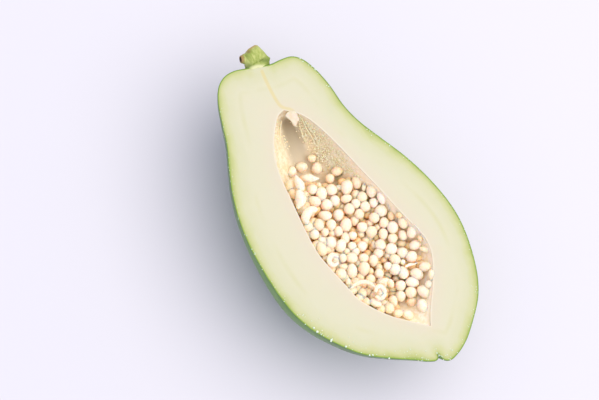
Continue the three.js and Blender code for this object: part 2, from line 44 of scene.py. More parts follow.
# Outer outline on the cut plane, and the back as distance along and depth
RIM_RIGHT = [
    (-1, 0), (1.9, 8), (2.4, 15), (4.2, 22.8), (9, 27.8), (18, 31.6), (31.5, 34.2), (47, 35.1), (60, 38.2),
    (76, 44.8), (95, 52.8), (114.6, 58.5), (134, 61.5), (148, 61.2), (163, 58.1), (180, 52), (192.2, 44.4),
    (203, 32.6), (211.5, 20.5), (215.2, 10.8), (215.6, 4.8), (213.2, 1.4), (208.5, 0),
]
RIM_LEFT = [
    (-1, 0), (-3.8, -8.3), (-6, -15.5), (-5.9, -22.5), (-2.6, -29), (5.5, -35), (18, -40.3), (31, -45.2),
    (45, -52.6), (59, -59.2), (75, -64.3), (92, -67.2), (110, -68.1), (127, -67.6), (140, -65.8), (154, -61),
    (170.4, -51.4), (183, -41.4), (193.7, -28.4), (203, -15.2), (209.3, -6.8), (210.9, -3.2), (210.3, -1),
    (208.5, 0),
]
BACK = [
    (-1, 0), (-1.4, 7), (-0.8, 14), (1.4, 21), (5.6, 27.4), (12.4, 33), (23, 37.8), (36, 42.6), (52, 48),
    (68, 53.4), (83, 57.8), (97, 60.5), (109, 61.2), (124, 60.4), (141, 57.8), (158, 52.8), (175, 44.8),
    (190, 33.8), (201.5, 21), (208.6, 9.6), (210.8, 3), (208.5, 0),
]
AXIS_DROP = (-6.5, 1.5)
RIB_HEIGHT = 0.9
REST_DEPTH = 60.0
SKIN_THICKNESS = 0.85
FLESH_INSET = 0.45

# Outline of the seed hollow and its depth
CAVITY_RIGHT = [
    (30.5, -1), (33.1, 2.2), (37.6, 6.8), (43.7, 10.5), (55.1, 14.6), (67.9, 17.9), (85.5, 21.8),
    (103.1, 25.8), (121.3, 29.4), (134.5, 32.5), (143.4, 34.3), (152.2, 33.2), (160.7, 29), (171, 21.8),
    (180.6, 13.6), (187.4, 8.4), (191.3, 6),
]
CAVITY_LEFT = [
    (30.5, -1), (31.4, -5.4), (35.7, -10.7), (43.1, -16.7), (54.1, -22.9), (65.9, -26.1), (83.2, -28.5),
    (103.3, -31.1), (117.5, -31.6), (126.9, -30.2), (140.6, -27.6), (153, -25), (163, -19.6), (171.9, -13.3),
    (181.5, -4.1), (187.6, 2.4), (191.3, 6),
]
CAVITY_BACK = [
    (30.5, 0), (32, 5), (37, 10.5), (46, 15), (58, 18.8), (72, 22.4), (88, 25.6), (105, 28.2), (122, 29.4),
    (138, 28.8), (152, 26), (165, 20.8), (176, 14.4), (185, 7.6), (190.3, 2.4), (191.3, 0),
]

# Pale strand from the stalk to the hollow, and the torn pith over the hollow's tip, in pixels
STRAND = [
    (262, 71), (264.6, 77.5), (267.6, 84), (271.2, 91), (275.6, 99), (280, 105.4), (284.4, 108),
    (289.4, 109), (293.6, 111.6),
]
TONGUE = [
    (285.4, 115.8), (287.6, 112.2), (291.4, 110.6), (295.2, 111.6), (297.4, 114.8), (299.8, 119.6),
    (297.8, 121.6), (296.8, 126.2), (294.2, 125), (291.4, 120.8), (288, 118.2),
]

# Stalk stub as rings of x, centre y, centre z, half width, half height
STALK_RINGS = [
    (4.5, 0.4, -4.2, 3.4, 2.6), (1.5, 1.4, -4.2, 7.2, 3.9), (-1.4, 1.4, -3.9, 8.4, 5),
    (-3.6, 1.6, -3.4, 8.1, 5.4), (-5.8, 1.5, -2.8, 7.7, 5.7), (-8.2, 1.7, -2.3, 7, 5.9),
    (-10.6, 2, -2, 6, 5.6), (-12.4, 2.9, -2, 4.6, 4.4), (-13.3, 3.6, -2, 2.8, 2.7),
]
STALK_ROOT = np.array([5.2, 0.4, -4.2])
STALK_TOP = np.array([-13.5, 3.7, -2.0])
STALK_SIDES = 44
LOBES_AT = -1.9
KNIFE_END = -3.2

# Stump of a broken side bud: its middle, its way out, and rings of how far out and half width
SCAR = np.array([-9.4, -5.0, -2.0])
BUD_WAY = np.array([-0.35, -0.9, 0.1])
BUD_RINGS = [
    (-1.5, 3.2), (-0.4, 3), (0.5, 2.6), (1.2, 2.35), (1.8, 2.2), (2.1, 1.75), (1.7, 1.35), (0.8, 1.15),
]
BUD_SIDES = 22

# The line of sight down on the cut face: lean, turn, focal length and middle in pixels, and its distance
TILT = math.radians(21.5)
ROLL = math.radians(58.03)
FOCAL_PIXELS = 1800
MIDDLE_PIXEL = (299.5, 200)
SIGHT_TARGET = np.array([82.43, -23.69, 0])
MM_PER_PIXEL = 0.611
SIGHT_DISTANCE = FOCAL_PIXELS * MM_PER_PIXEL
PICTURE_WIDTH = 599
SENSOR_WIDTH = 36

# Marks as they show, in pixels: middle and half widths
STALK_FOOT = ((259, 67.5), (12, 6.5))
CUT_PATCH = ((259.5, 69), (9.5, 4.6))
# Painted shade in the creases at the stalk's foot
FOOT_FOLD_SHADES = [((265.5, 60.4), (5.2, 2.6)), ((250, 65.8), (3.4, 3.2))]
BROWN_SPOT = ((248.8, 52), (1.7, 1.1))

# The valley at the hollow's neck end, its grey-beige wall darkened with painted shade, deepest at its start
# under the torn pith: its start and its run in pixels
VALLEY_START = np.array([288, 124])
VALLEY_RUN = np.array([13, 39])

# Seeds as they show: across and down in pixels, half width, half height, lean in degrees, layer
SEEN_SEEDS = [
    (312, 158.2, 4.2, 3.6, 0, 9), (301.6, 167.3, 5.6, 4.6, 0, 9), (317, 168.6, 5.2, 5.6, 0, 9),
    (292, 171.8, 4.2, 4.9, 10, 0), (290.3, 186, 4.6, 5.5, 0, 1), (329.8, 178.6, 4.2, 4.5, 0, 1),
    (337, 171.4, 5.6, 4.2, -25, 9), (346.6, 187.3, 5.6, 6.8, 12, 0), (356.6, 182.3, 4.7, 6, -12, 1),
    (363.9, 187.3, 2.1, 3.8, 5, 0), (371.5, 190.8, 5, 6, 0, 0), (331.2, 190, 5.5, 5.2, 0, 0),
    (339, 187.7, 4, 2.6, 0, 1), (312, 189, 4.8, 5, 0, 0), (318.5, 185.5, 2.8, 3, 0, 1),
    (321.2, 193.6, 5.5, 6.5, -15, 0), (334.8, 200.5, 4.6, 4.8, 0, 0), (346.2, 198.6, 5.4, 3.8, -15, 0),
    (355.7, 194.5, 4.4, 4.6, 0, 1), (362, 196.8, 5, 4.9, 0, 0), (373.5, 202.4, 4.4, 4.7, 0, 0),
    (381.5, 197.3, 4, 6.2, -15, 0), (314.4, 201.4, 6.4, 4.8, 10, 0), (326.6, 205, 5.6, 5, -20, 0),
    (355.7, 203.6, 4.6, 4.6, 0, 0), (365, 206.4, 4.9, 5.1, 0, 0), (349.2, 209, 5.1, 5.2, 0, 0),
    (380.8, 210.8, 5.9, 5.6, 0, 0), (325.1, 215.7, 6.4, 4.6, 5, 0), (338.3, 215, 5, 5.3, 0, 0),
    (359.1, 214, 4.7, 4.7, 0, 0), (374.2, 217.8, 5, 4.8, 20, 0), (391, 215.5, 3.6, 4.8, 0, 2),
    (308.3, 226.7, 4.4, 4.4, 0, 0), (318.3, 225, 5.4, 5.6, 0, 0), (314.4, 234.6, 4.4, 4.5, 0, 0),
    (324.7, 232.2, 3.8, 4, 0, 0), (331, 224.8, 4.8, 5.3, 0, 0), (338.3, 231.4, 4.2, 4.8, 0, 0),
    (331.7, 233.4, 3.4, 3.4, 0, 1), (345.6, 225, 5.4, 6.6, 15, 0), (354.4, 220.6, 4.2, 4.6, 0, 1),
    (362, 227.2, 5, 4.9, 0, 0), (352.4, 235.5, 4.4, 3.8, 0, 0), (345, 238.3, 4.2, 5.2, 0, 0),
    (383.7, 222.8, 4.6, 4.9, 0, 0), (371.3, 231.7, 5.4, 5.4, 0, 0), (369.4, 223.3, 3.4, 3.2, 0, 1),
    (377.4, 227.2, 3, 3, 0, 1), (361, 234, 3.4, 3.4, 0, 1), (369, 236.7, 4, 3.5, 0, 1),
    (383.1, 233.9, 4.3, 5.3, 0, 0), (392.6, 227.2, 5.5, 5.9, 0, 0), (392.4, 238.3, 4.7, 4.5, 0, 0),
    (402.8, 235.2, 4.2, 5, -20, 0), (402.8, 221.7, 4.6, 6.6, -15, 0), (412.2, 231.1, 4.8, 6.7, 15, 0),
    (401, 243.9, 5.4, 4.4, 0, 2), (415, 245, 6, 4.6, -20, 0), (425.6, 249.4, 6, 2.7, 10, 0),
    (402.2, 252.5, 5.2, 5, 0, 0), (411.4, 256.7, 5.7, 5.3, -25, 0), (402.8, 262.2, 2.6, 2.6, 0, 0),
    (390.9, 248.9, 5.9, 5.4, 0, 0), (387.8, 255, 3.6, 3.5, 0, 1), (395, 259.2, 5.6, 4.4, 40, 0),
    (378.3, 253.3, 4.6, 4.5, 0, 0), (380.2, 245, 5.4, 5, 0, 0), (373.9, 245, 3.2, 3.8, 0, 1),
    (362, 246.3, 4.7, 4.8, 0, 0), (365.5, 240.5, 3.4, 3, 0, 1), (352, 246.2, 4.3, 4.2, 0, 0),
    (340.5, 246, 5, 6, 20, 0), (330.5, 242.8, 5.4, 5.6, 0, 0), (321.7, 249.4, 4.6, 6.6, -25, 0),
    (321.4, 240, 3.4, 3, 0, 0), (351.7, 258.3, 5.7, 4.8, 0, 0), (355.5, 251.6, 3.8, 3.8, 0, 0),
    (346, 251.7, 4, 3.6, 0, 1), (342.6, 258.3, 3.8, 4.2, 0, 0), (363.3, 258.3, 5, 4.8, 0, 0),
    (373.3, 260.5, 4.4, 5.4, 0, 0), (383.9, 260.5, 3.5, 3.3, 0, 2), (387.8, 266, 4, 4, 0, 0),
    (395, 269.4, 5.7, 5.6, 0, 0), (403.3, 272.8, 5, 6, -20, 0), (378.9, 267.8, 3.6, 3.8, 0, 1),
    (378.9, 273.9, 4.3, 4.8, -10, 0), (387.8, 275.5, 3.6, 3.2, 0, 2), (363.9, 269, 5.5, 6.8, 10, 0),
    (351.7, 271.3, 5.2, 6.8, 0, 0), (370.5, 271.7, 3.2, 3.6, 0, 1), (341.1, 273.9, 5.4, 4.5, 35, 0),
    (343, 267, 3.8, 2.8, 0, 0), (348.3, 281.7, 2.6, 3, 0, 0), (370.5, 279.4, 4.6, 4.4, 0, 0),
    (360, 277.5, 4, 3.6, 0, 1), (381.7, 283.3, 5.2, 5.2, 0, 0), (371.5, 286, 4.8, 4.2, 0, 1),
    (390.5, 283.3, 3.4, 4.3, -30, 0), (400.5, 285.5, 5, 5, 0, 0), (412.2, 282.2, 6.5, 4.7, 8, 0),
    (416.7, 273.9, 6.6, 5.2, 30, 0), (425.5, 266.7, 6.6, 4.5, -5, 0), (431.5, 274.5, 3, 5, 0, 1),
    (429.2, 284.4, 4.4, 3.8, 0, 0), (423.9, 291.7, 6.9, 5.1, 40, 0), (410.9, 292.2, 5.6, 5.2, 0, 0),
    (411.4, 301.7, 4.9, 4.5, 0, 1), (400.5, 296.1, 4.7, 5, 0, 0), (422.8, 306, 5.2, 7, -22, 0),
    (393.3, 301, 4, 5.2, -15, 0), (389.2, 308.3, 5, 4.8, 0, 0), (392.2, 289.4, 4.6, 4, 0, 2),
    (362.2, 293.3, 4.4, 4.9, 0, 1), (397.8, 313.3, 4.8, 3.8, 0, 0), (407.6, 315, 5.8, 4.2, 25, 0),
    (375.5, 302.8, 6, 3.6, 20, 0), (383.5, 304, 3.6, 4, 0, 1), (303, 178.5, 3.2, 3, 0, 2),
    (304.5, 194.5, 4, 3.4, 0, 1), (303, 212, 3.4, 4.2, 0, 2), (325, 258, 2.8, 2.6, 0, 1),
    (399.5, 214.5, 3.4, 3.8, 0, 2), (420.5, 238, 3, 3.2, 0, 2), (396, 278.5, 3.4, 3.4, 0, 2),
    (358, 263.5, 3, 3, 0, 1), (328.5, 197, 3, 3, 0, 2), (341.5, 206.5, 4, 3.6, 0, 2),
]

# Torn, curved and tapered seeds and threads: places in pixels with half thickness, depth, tint
SEEN_STRINGS = [
    ([(296, 176.6, 1.6), (297.8, 180.5, 3.6), (300, 185, 4.9), (301.4, 188.4, 3.6)], 3.4, 0.1),
    ([(305.6, 178, 3.4), (309.3, 178, 4.6), (313.5, 178.6, 3), (318.5, 178.4, 0.8)], 5.5, 0.45),
    ([(299.2, 192.8, 4), (300.6, 198.5, 6.1), (300, 203, 5), (298, 207.4, 2.2)], 3.4, 0.15),
    (
        [(315, 209.4, 3.2), (310.6, 210.4, 4.6), (306.6, 214.2, 5), (305.6, 219.4, 4.6), (306.6, 222.6, 2.6)],
        3.6, 0.25,
    ),
    (
        [
            (337.4, 263.2, 1.8), (333.6, 265.4, 2.5), (329.8, 262.8, 2.8), (329.6, 258, 2.9),
            (332.8, 255, 2.8), (337, 256.6, 2),
        ],
        2.8, 0.3,
    ),
    ([(333.4, 257.4, 2.2), (334.8, 260.2, 3.6), (334.2, 262.8, 2)], 3.6, 0.9),
    (
        [
            (375.8, 291, 2), (376.6, 287.8, 2.4), (380.2, 286.4, 2.7), (383.8, 289.8, 2.8),
            (383.8, 295.2, 2.8), (380.2, 298.8, 2.5), (376.8, 296.8, 1.9),
        ],
        2.8, 0.35,
    ),
    ([(379.6, 290.4, 2.2), (380, 293.6, 3.8), (379.4, 296.6, 2)], 3.6, 0.95),
    (
        [
            (351.4, 288, 1), (354.2, 285, 1.9), (359.4, 282.4, 2.4), (365.6, 282, 2.5),
            (371, 283.8, 1.9), (374.4, 287, 1),
        ],
        2.6, 0.7,
    ),
    ([(387, 279.6, 2), (383.4, 281.4, 3.6), (380.6, 282.6, 2)], 4.6, 0.5),
    ([(364.6, 184.6, 0.8), (365.2, 180.6, 0.4), (364.4, 178.4, 0.25)], 8, 0.2),
    ([(406, 266.6, 1.2), (410, 264.6, 1.7), (414.4, 264, 0.9), (418, 262.6, 0.4)], 7, 0.2),
    ([(419.8, 233.4, 0.3), (423, 237, 0.6), (425.8, 243.4, 0.5)], None, 0.3),
    ([(414, 224, 0.3), (418, 228.6, 0.6), (420.6, 234.4, 0.4)], None, 0.3),
    ([(395.8, 208.4, 0.3), (398, 212.6, 0.7), (397.4, 218.4, 0.4)], None, 0.3),
    ([(386.6, 203.4, 0.4), (389.4, 207.6, 0.6), (389.8, 212, 0.3)], None, 0.4),
    ([(288.4, 193.6, 0.5), (289.6, 198, 0.7), (290.8, 201.6, 0.4)], 4.6, 0.5),
]

# Folds of the wall at the hollow's neck end, and lines along which its grains lie, with half width and count
WALL_FOLDS = [
    ([(302, 119, 0.5), (306, 128, 0.9), (311, 136, 0.8), (316.5, 146, 0.5)], None, 0.6),
    ([(305, 121.5, 0.4), (312, 131, 0.7), (317, 140, 0.8), (318.6, 149, 0.5)], None, 0.5),
    ([(299.4, 124, 0.4), (301.8, 133, 0.8), (305.4, 141, 0.5)], None, 0.6),
    ([(281.6, 121, 0.6), (279.8, 131, 1.1), (280.8, 143, 0.8), (284, 156, 0.5)], None, 0.45),
    ([(317.6, 132, 0.3), (319.4, 138, 0.6), (318.2, 145.4, 0.4)], None, 0.3),
    ([(330, 160, 0.3), (334, 163, 0.6), (336.4, 168, 0.4)], None, 0.4),
]
WALL_GRAINS = [
    ([(279, 121), (274.6, 138), (275.4, 158), (281, 176), (287, 190)], 4.5, 150),
    ([(283.6, 138), (286.4, 150), (291.6, 160), (297, 168)], 3.6, 70),
    ([(300, 120), (305.4, 136), (313.6, 149), (322, 158.6), (333, 167)], 6.5, 170),
    ([(306, 118), (322, 134), (338, 151), (354, 166)], 6, 260),
    ([(318, 140), (330, 156), (342, 168), (360, 178)], 7, 150),
    ([(404, 222), (418, 232), (426, 244), (429, 256)], 4, 60),
]
SEED_RANDOM_START = 20261

# How the seeds lie: drop of each layer, closeness of neighbours, and swell against the size seen
LAYER_DEPTH = 2.3
SEED_NESTLE = 0.8
SEED_SWELL = 1.16
ALONE_ON_WALL = 9
HOLLOW_ENDS = (31, 190)

# The bed under the seeds: middle and half of its length, its depth under the heap, and its gap to the edge
BED_MIDDLE = 130
BED_REACH = 47
BED_DEPTH = 8.5
BED_GAP = 0.7


def srgb(red, green, blue, alpha=1.0):
    def linear(value):
        share = value / 255
        return share / 12.92 if share <= 0.04045 else ((share + 0.055) / 1.055) ** 2.4

    return (linear(red), linear(green), linear(blue), alpha)


# Shader tools
class Socket:
    """One output of a shader node, for writing its maths as sums and products."""

    def __init__(self, material, output):
        self.material = material
        self.output = output

    def math(self, kind, other=None, clamp=False):
        pair = [self] if other is None else [self, other]
        settings = {"operation": kind, "use_clamp": clamp}
        node = self.material.node("ShaderNodeMath", settings, dict(enumerate(pair)))
        return Socket(self.material, node.outputs[0])

    def __add__(self, other):
        return self.math("ADD", other)

    def __mul__(self, other):
        return self.math("MULTIPLY", other)

    def __sub__(self, other):
        return self.math("SUBTRACT", other)

    def __truediv__(self, other):
        return self.math("DIVIDE", other)

    def clamped(self):
        return self.math("ADD", 0.0, clamp=True)

    def smooth_step(self, low, high):
        node = self.material.node(
            "ShaderNodeMapRange",
            {"interpolation_type": "SMOOTHSTEP"},
            {"Value": self, "From Min": low, "From Max": high, "To Min": 0.0, "To Max": 1.0},
        )
        return Socket(self.material, node.outputs[0])


class Material:
    """A node material built from a Principled shader."""

    def __init__(self, name, roughness=0.5, **uniform):
        self.data = bpy.data.materials.new(name)
        self.data.use_nodes = True
        self.tree = self.data.node_tree
        self.shader = self.tree.nodes["Principled BSDF"]
        self.shader.inputs["Roughness"].default_value = roughness
        for key, value in uniform.items():
            self.shader.inputs[key.replace("_", " ")].default_value = value

    def put(self, target, value):
        if isinstance(value, Socket):
            self.tree.links.new(value.output, target)
        else:
            target.default_value = value

    def node(self, kind, settings=None, values=None):
        made = self.tree.nodes.new(kind)
        for key, value in (settings or {}).items():
            setattr(made, key, value)
        for key, value in (values or {}).items():
            self.put(made.inputs[key], value)
        return made

    def set(self, name, value):
        self.put(self.shader.inputs[name], value)

    def attribute(self, name):
        node = self.node("ShaderNodeAttribute", {"attribute_name": name})
        return Socket(self, node.outputs["Fac"])

    def fade(self, name, low, high):
        """From 0 to 1 as the attribute goes from low to high."""
        return self.attribute(name).smooth_step(low, high)

    def place(self):
        return Socket(self, self.node("ShaderNodeTexCoord").outputs["Object"])

    def stretched(self, scale):
        node = self.node("ShaderNodeVectorMath", {"operation": "MULTIPLY"}, {0: self.place(), 1: scale})
        return Socket(self, node.outputs[0])

    def noise(self, scale, detail=3.0, rough=0.5, stretch=None):
        values = {"Scale": scale, "Detail": detail, "Roughness": rough}
        values["Vector"] = self.stretched(stretch) if stretch else self.place()
        return Socket(self, self.node("ShaderNodeTexNoise", None, values).outputs["Fac"])

    def mix(self, share, first, second, kind="MIX"):
        node = self.node("ShaderNodeMix", {"data_type": "RGBA", "blend_type": kind})
        sockets = {s.identifier: s for s in node.inputs}
        self.put(sockets["Factor_Float"], share)
        self.put(sockets["A_Color"], first)
        self.put(sockets["B_Color"], second)
        return Socket(self, next(s for s in node.outputs if s.identifier == "Result_Color"))

    def ramp(self, value, stops):
        node = self.node("ShaderNodeValToRGB", None, {"Fac": value})
        ramp = node.color_ramp
        while len(ramp.elements) < len(stops):
            ramp.elements.new(0.5)
        for element, (place, colour) in zip(ramp.elements, stops):
            element.position = place
            element.color = colour
        return Socket(self, node.outputs["Color"])

    def bump(self, height, strength, distance):
        values = {"Height": height, "Strength": strength, "Distance": distance}
        node = self.node("ShaderNodeBump", None, values)
        self.set("Normal", Socket(self, node.outputs["Normal"]))


# Curves and surfaces of the fruit, in drawing millimetres
def smooth_curve(points, per_span=24):
    """Centripetal curve through the points, sampled evenly enough to be read by share of its length."""
    p = np.array(points, float)
    p = np.vstack([2 * p[0] - p[1], p, 2 * p[-1] - p[-2]])
    samples = []
    for i in range(1, len(p) - 2):
        before, step, after = [max(1e-4, np.linalg.norm(p[i + k] - p[i + k - 1])) ** 0.5 for k in range(3)]
        ahead = (p[i + 1] - p[i]) / step
        start = (p[i] - p[i - 1]) / before - (p[i + 1] - p[i - 1]) / (before + step) + ahead
        end = ahead - (p[i + 2] - p[i]) / (step + after) + (p[i + 2] - p[i + 1]) / after
        start, end = start * step, end * step
        for t in np.arange(per_span) / per_span:
            samples.append(
                (2 * t**3 - 3 * t**2 + 1) * p[i]
                + (t**3 - 2 * t**2 + t) * start
                + (3 * t**2 - 2 * t**3) * p[i + 1]
                + (t**3 - t**2) * end
            )
    samples.append(p[-2])
    samples = np.array(samples)
    length = np.concatenate([[0], np.cumsum(np.linalg.norm(np.diff(samples, axis=0), axis=1))])
    return samples, length / length[-1]


def read_curve(curve, share):
    samples, length = curve
    return np.stack([np.interp(share, length, samples[:, k]) for k in range(2)], axis=-1)


class HalfShape:
    """The curved side of a half fruit or of its hollow, read by share of length and angle round it."""

    def __init__(self, right, left, back, drop, rib, centred):
        self.right = smooth_curve(right)
        self.left = smooth_curve(left)
        self.back = smooth_curve(back)
        self.drop = drop
        self.rib = rib
        self.centred = centred

    def at(self, u, angle):
        right = read_curve(self.right, u)
        left = read_curve(self.left, u)
        back = read_curve(self.back, u)
        fade = np.sin(np.pi * u) ** 2
        belly = np.clip((u - 0.42) / 0.2, 0, 1)
        belly = belly * belly * (3 - 2 * belly)
        drop = (self.drop[0] * (1 - belly) + self.drop[1] * belly) * np.minimum(1, 2.2 * np.sin(np.pi * u))
        centre = (right[..., 1] + left[..., 1]) / 2 * (2 * u - 1) ** 6 * self.centred
        start = np.arcsin(np.minimum(0.9, drop / np.maximum(back[..., 1] - drop, 1)))
        turn = -start + angle * (1 + 2 * start / np.pi)
        side = np.where((np.cos(turn) > 0)[..., None], right, left)
        across = np.abs(np.cos(turn))
        share = np.minimum(1, (across / np.cos(start)) ** 2)
        rib = 1 + self.rib * fade * np.sin(angle) ** 2 * np.cos(5 * angle - 2.5 * np.pi) / 60
        return np.stack(
            [
                back[..., 0] * (1 - share) + side[..., 0] * share,
                centre + (side[..., 1] - centre) * across * rib / np.cos(start),
                (-drop - (back[..., 1] - drop) * np.sin(turn)) * rib,
            ],
            axis=-1,
        )

    def rings(self, walk, depths):
        """Rings of points, the first on the cut plane and the last near the middle of the curved side."""
        made = []
        for depth in depths:
            along = walk[:, 0] * math.cos(depth)
            across = np.clip(walk[:, 1] * math.cos(depth), -1, 1)
            share = (along + 1) / 2
            share = share - 0.085 * np.sin(2 * np.pi * share)
            made.append(self.at(share, np.arccos(across)))
        return made

    def middle(self):
        return self.at(np.array([0.5]), np.array([np.pi / 2]))[0]


def square_walk(long_steps, end_steps):
    """Once round the edge of a square: along the right rim, round the blossom end, back by the left rim."""
    long_side = np.linspace(-1, 1, long_steps, endpoint=False)
    end_side = np.linspace(1, -1, end_steps, endpoint=False)
    walk = [(a, 1.0) for a in long_side]
    walk += [(1.0, c) for c in end_side]
    walk += [(-a, -1.0) for a in long_side]
    walk += [(-1.0, -c) for c in end_side]
    return np.array(walk)


def outline(right, left):
    return np.vstack([smooth_curve(right)[0], smooth_curve(left)[0][::-1]])


def distance_to(points, line):
    """Distance in the plane from each point to a dense line of points."""
    best = np.full(len(points), 1e9)
    for start in range(0, len(line), 60):
        part = line[start : start + 60]
        gap = points[:, None, :2] - part[None, :, :2]
        best = np.minimum(best, np.sqrt((gap**2).sum(axis=2)).min(axis=1))
    return best


def wave(points, scale, seed):
    """A cheap smooth unevenness from a few sums of sines."""
    random = np.random.default_rng(seed)
    total = np.zeros(len(points))
    for _ in range(9):
        way = random.normal(size=3)
        way /= np.linalg.norm(way)
        total += np.sin(points @ way * random.uniform(0.6, 1.7) / scale + random.uniform(0, 6.28))
    return total / 4.5


# Mesh tools
def start_clean():
    bpy.ops.object.select_all(action="DESELECT")


def select(*pieces):
    """Selects these pieces alone, the first of them active."""
    start_clean()
    for piece in pieces:
        piece.select_set(True)
    bpy.context.view_layer.objects.active = pieces[0]


def named(name):
    piece = bpy.context.view_layer.objects.active
    piece.name = name
    piece.data.name = name
    return piece


def ball(name, segments, ring_count):
    start_clean()
    bpy.ops.mesh.primitive_uv_sphere_add(segments=segments, ring_count=ring_count, radius=1)
    return named(name)


def set_points(piece, points):
    """Moves a piece's vertices to points given in drawing millimetres."""
    world = (np.asarray(points) + DRAWING_SHIFT) * MM
    piece.data.vertices.foreach_set("co", world.astype(np.float32).ravel())
    piece.data.update()


def ball_of_rings(name, top, rings, bottom):
    """A sphere whose rings are moved to the given rings of points, from its top pole to its bottom pole."""
    segments = len(rings[0])
    piece = ball(name, segments, len(rings) + 1)
    points = np.zeros((len(piece.data.vertices), 3))
    for index, vertex in enumerate(piece.data.vertices):
        x, y, z = vertex.co
        ring = round(math.acos(max(-1, min(1, z))) / math.pi * (len(rings) + 1))
        if ring == 0:
            points[index] = top
        elif ring == len(rings) + 1:
            points[index] = bottom
        else:
            place = round(math.atan2(y, x) / (2 * math.pi) * segments) % segments
            points[index] = rings[ring - 1][place]
    set_points(piece, points)
    return piece


def tidy(piece):
    """Merges doubled points, drops flat faces and turns every face outward."""
    select(piece)
    bpy.ops.object.mode_set(mode="EDIT")
    bpy.ops.mesh.select_all(action="SELECT")
    bpy.ops.mesh.remove_doubles(threshold=0.00002)
    bpy.ops.mesh.dissolve_degenerate(threshold=0.000001)
    bpy.ops.mesh.select_all(action="SELECT")
    bpy.ops.mesh.normals_make_consistent(inside=False)
    bpy.ops.object.mode_set(mode="OBJECT")
    return piece


def smooth(piece, angle=180):
    select(piece)
    if angle >= 180:
        bpy.ops.object.shade_smooth()
    else:
        bpy.ops.object.shade_smooth_by_angle(angle=math.radians(angle))
    return piece


def give_attribute(piece, name, values):
    attribute = piece.data.attributes.new(name, "FLOAT", "POINT")
    attribute.data.foreach_set("value", np.asarray(values, np.float32))


def drawing_points(piece):
    points = np.zeros(len(piece.data.vertices) * 3, np.float32)
    piece.data.vertices.foreach_get("co", points)
    return points.reshape(-1, 3) / MM - DRAWING_SHIFT


def finish_piece(piece, material, node):
    piece.data.materials.clear()
    piece.data.materials.append(material.data)
    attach(piece, "root")
    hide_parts(node)


def join(name, pieces):
    select(*pieces)
    bpy.ops.object.join()
    return named(name)


# Seeds: where the hollow, the heap and each seed lie
def seed_random(start):
    """An endless row of even chances from 0 to 1."""
    state = start
    while True:
        state = (state * 16807) % 2147483647
        yield state / 2147483647


def cavity_edges(x):
    right = np.interp(x, [p[0] for p in CAVITY_RIGHT], [p[1] for p in CAVITY_RIGHT])
    left = np.interp(x, [p[0] for p in CAVITY_LEFT], [p[1] for p in CAVITY_LEFT])
    return (right + left) / 2, (right - left) / 2


def wall_height(x, y):
    middle, half = cavity_edges(x)
    offset = min(1, abs((y - middle) / max(half, 1)))
    depth = np.interp(x, [p[0] for p in CAVITY_BACK], [p[1] for p in CAVITY_BACK])
    return -depth * math.sqrt(1 - offset * offset)


def share_of(part, whole):
    return min(1, max(0, part / whole))


def in_hollow(x):
    return min(HOLLOW_ENDS[1], max(HOLLOW_ENDS[0], x))


def heap_height(x, y):
    """How high the seeds are heaped: high along the left edge, low in the middle and lower on the right."""
    middle, half = cavity_edges(x)
    offset = min(1, max(-1, (y - middle) / max(half, 1)))
    right_edge = -8.5 + 5 * share_of(x - 142, 18)
    edge = -3.0 if offset < 0 else right_edge
    height = -12 + (edge + 12) * abs(offset) ** 1.7
    front = x - (58 + 0.42 * (y + 26))
    return height - 9 * (1 - share_of(front, 14)) ** 2 - 4 * share_of(x - 172, 10)


# The line of sight in drawing millimetres
sight_back = np.array([0, -math.sin(TILT), math.cos(TILT)])
sight_upward = np.cross(sight_back, [1, 0, 0])
sight_right = math.cos(ROLL) * np.array([1, 0, 0]) + math.sin(ROLL) * sight_upward
sight_up = -math.sin(ROLL) * np.array([1, 0, 0]) + math.cos(ROLL) * sight_upward
eye = SIGHT_TARGET + sight_back * SIGHT_DISTANCE


def seen_point(across, down, depth):
    """The point at a depth under the cut plane that shows at the given pixel."""
    ray = sight_right * (across - MIDDLE_PIXEL[0]) + sight_up * (MIDDLE_PIXEL[1] - down)
    ray = ray / FOCAL_PIXELS - sight_back
    return eye + ray * ((-depth - eye[2]) / ray[2])


def seen_pixels(points):
    """Where points show, in pixels."""
    way = points - eye
    far = -(way @ sight_back)
    across = MIDDLE_PIXEL[0] + FOCAL_PIXELS * (way @ sight_right) / far
    down = MIDDLE_PIXEL[1] - FOCAL_PIXELS * (way @ sight_up) / far
    return np.column_stack([across, down])


def off_mark(points, mark):
    """How far points show from the middle of a mark, in shares of its half widths."""
    return np.linalg.norm((seen_pixels(points) - mark[0]) / mark[1], axis=1)


def wall_point(across, down, above=0.0):
    """The point of the hollow's wall that shows at the given pixel."""
    depth = 6.0
    for _ in range(24):
        x, y, _ = seen_point(across, down, depth)
        depth = 0.7 * depth - 0.3 * (wall_height(in_hollow(x), y) + above)
    return seen_point(across, down, depth)


def seed_depth(across, down, radius, layer):
    """How deep a seed lies: on the heap's top or under it, or on the wall where it lies alone."""
    depth = 3.0
    for _ in range(6):
        x, y, _ = seen_point(across, down, depth)
        x = in_hollow(x)
        low = wall_height(x, y) + 0.75 * radius
        top = low if layer == ALONE_ON_WALL else heap_height(x, y) - LAYER_DEPTH * layer
        depth = 0.5 * depth - 0.5 * min(-0.6 * radius, max(top, low))
    return depth


def crowded(at, radius, others, nestle):
    """Whether a seed there would lie nearer to another than the given share of both sizes."""
    return any(np.linalg.norm(at - other["at"]) <= nestle * (radius + other["radius"]) for other in others)


def place_seeds():
    """Each seed that shows, moved down its line of sight until it rests clear of those before it."""
    placed = []
    for across, down, wide, high, lean, layer in sorted(SEEN_SEEDS, key=lambda seed: seed[5] % ALONE_ON_WALL):
        size = MM_PER_PIXEL * np.array([wide, high, min(wide, high)])
        radius = size.mean()
        depth = seed_depth(across, down, radius, layer)
        for _ in range(14):
            at = seen_point(across, down, depth)
            if not crowded(at, radius, placed, SEED_NESTLE):
                break
            depth += 0.4
        placed.append({"at": at, "size": size, "radius": radius, "lean": lean, "layer": min(layer, 3)})
    return placed


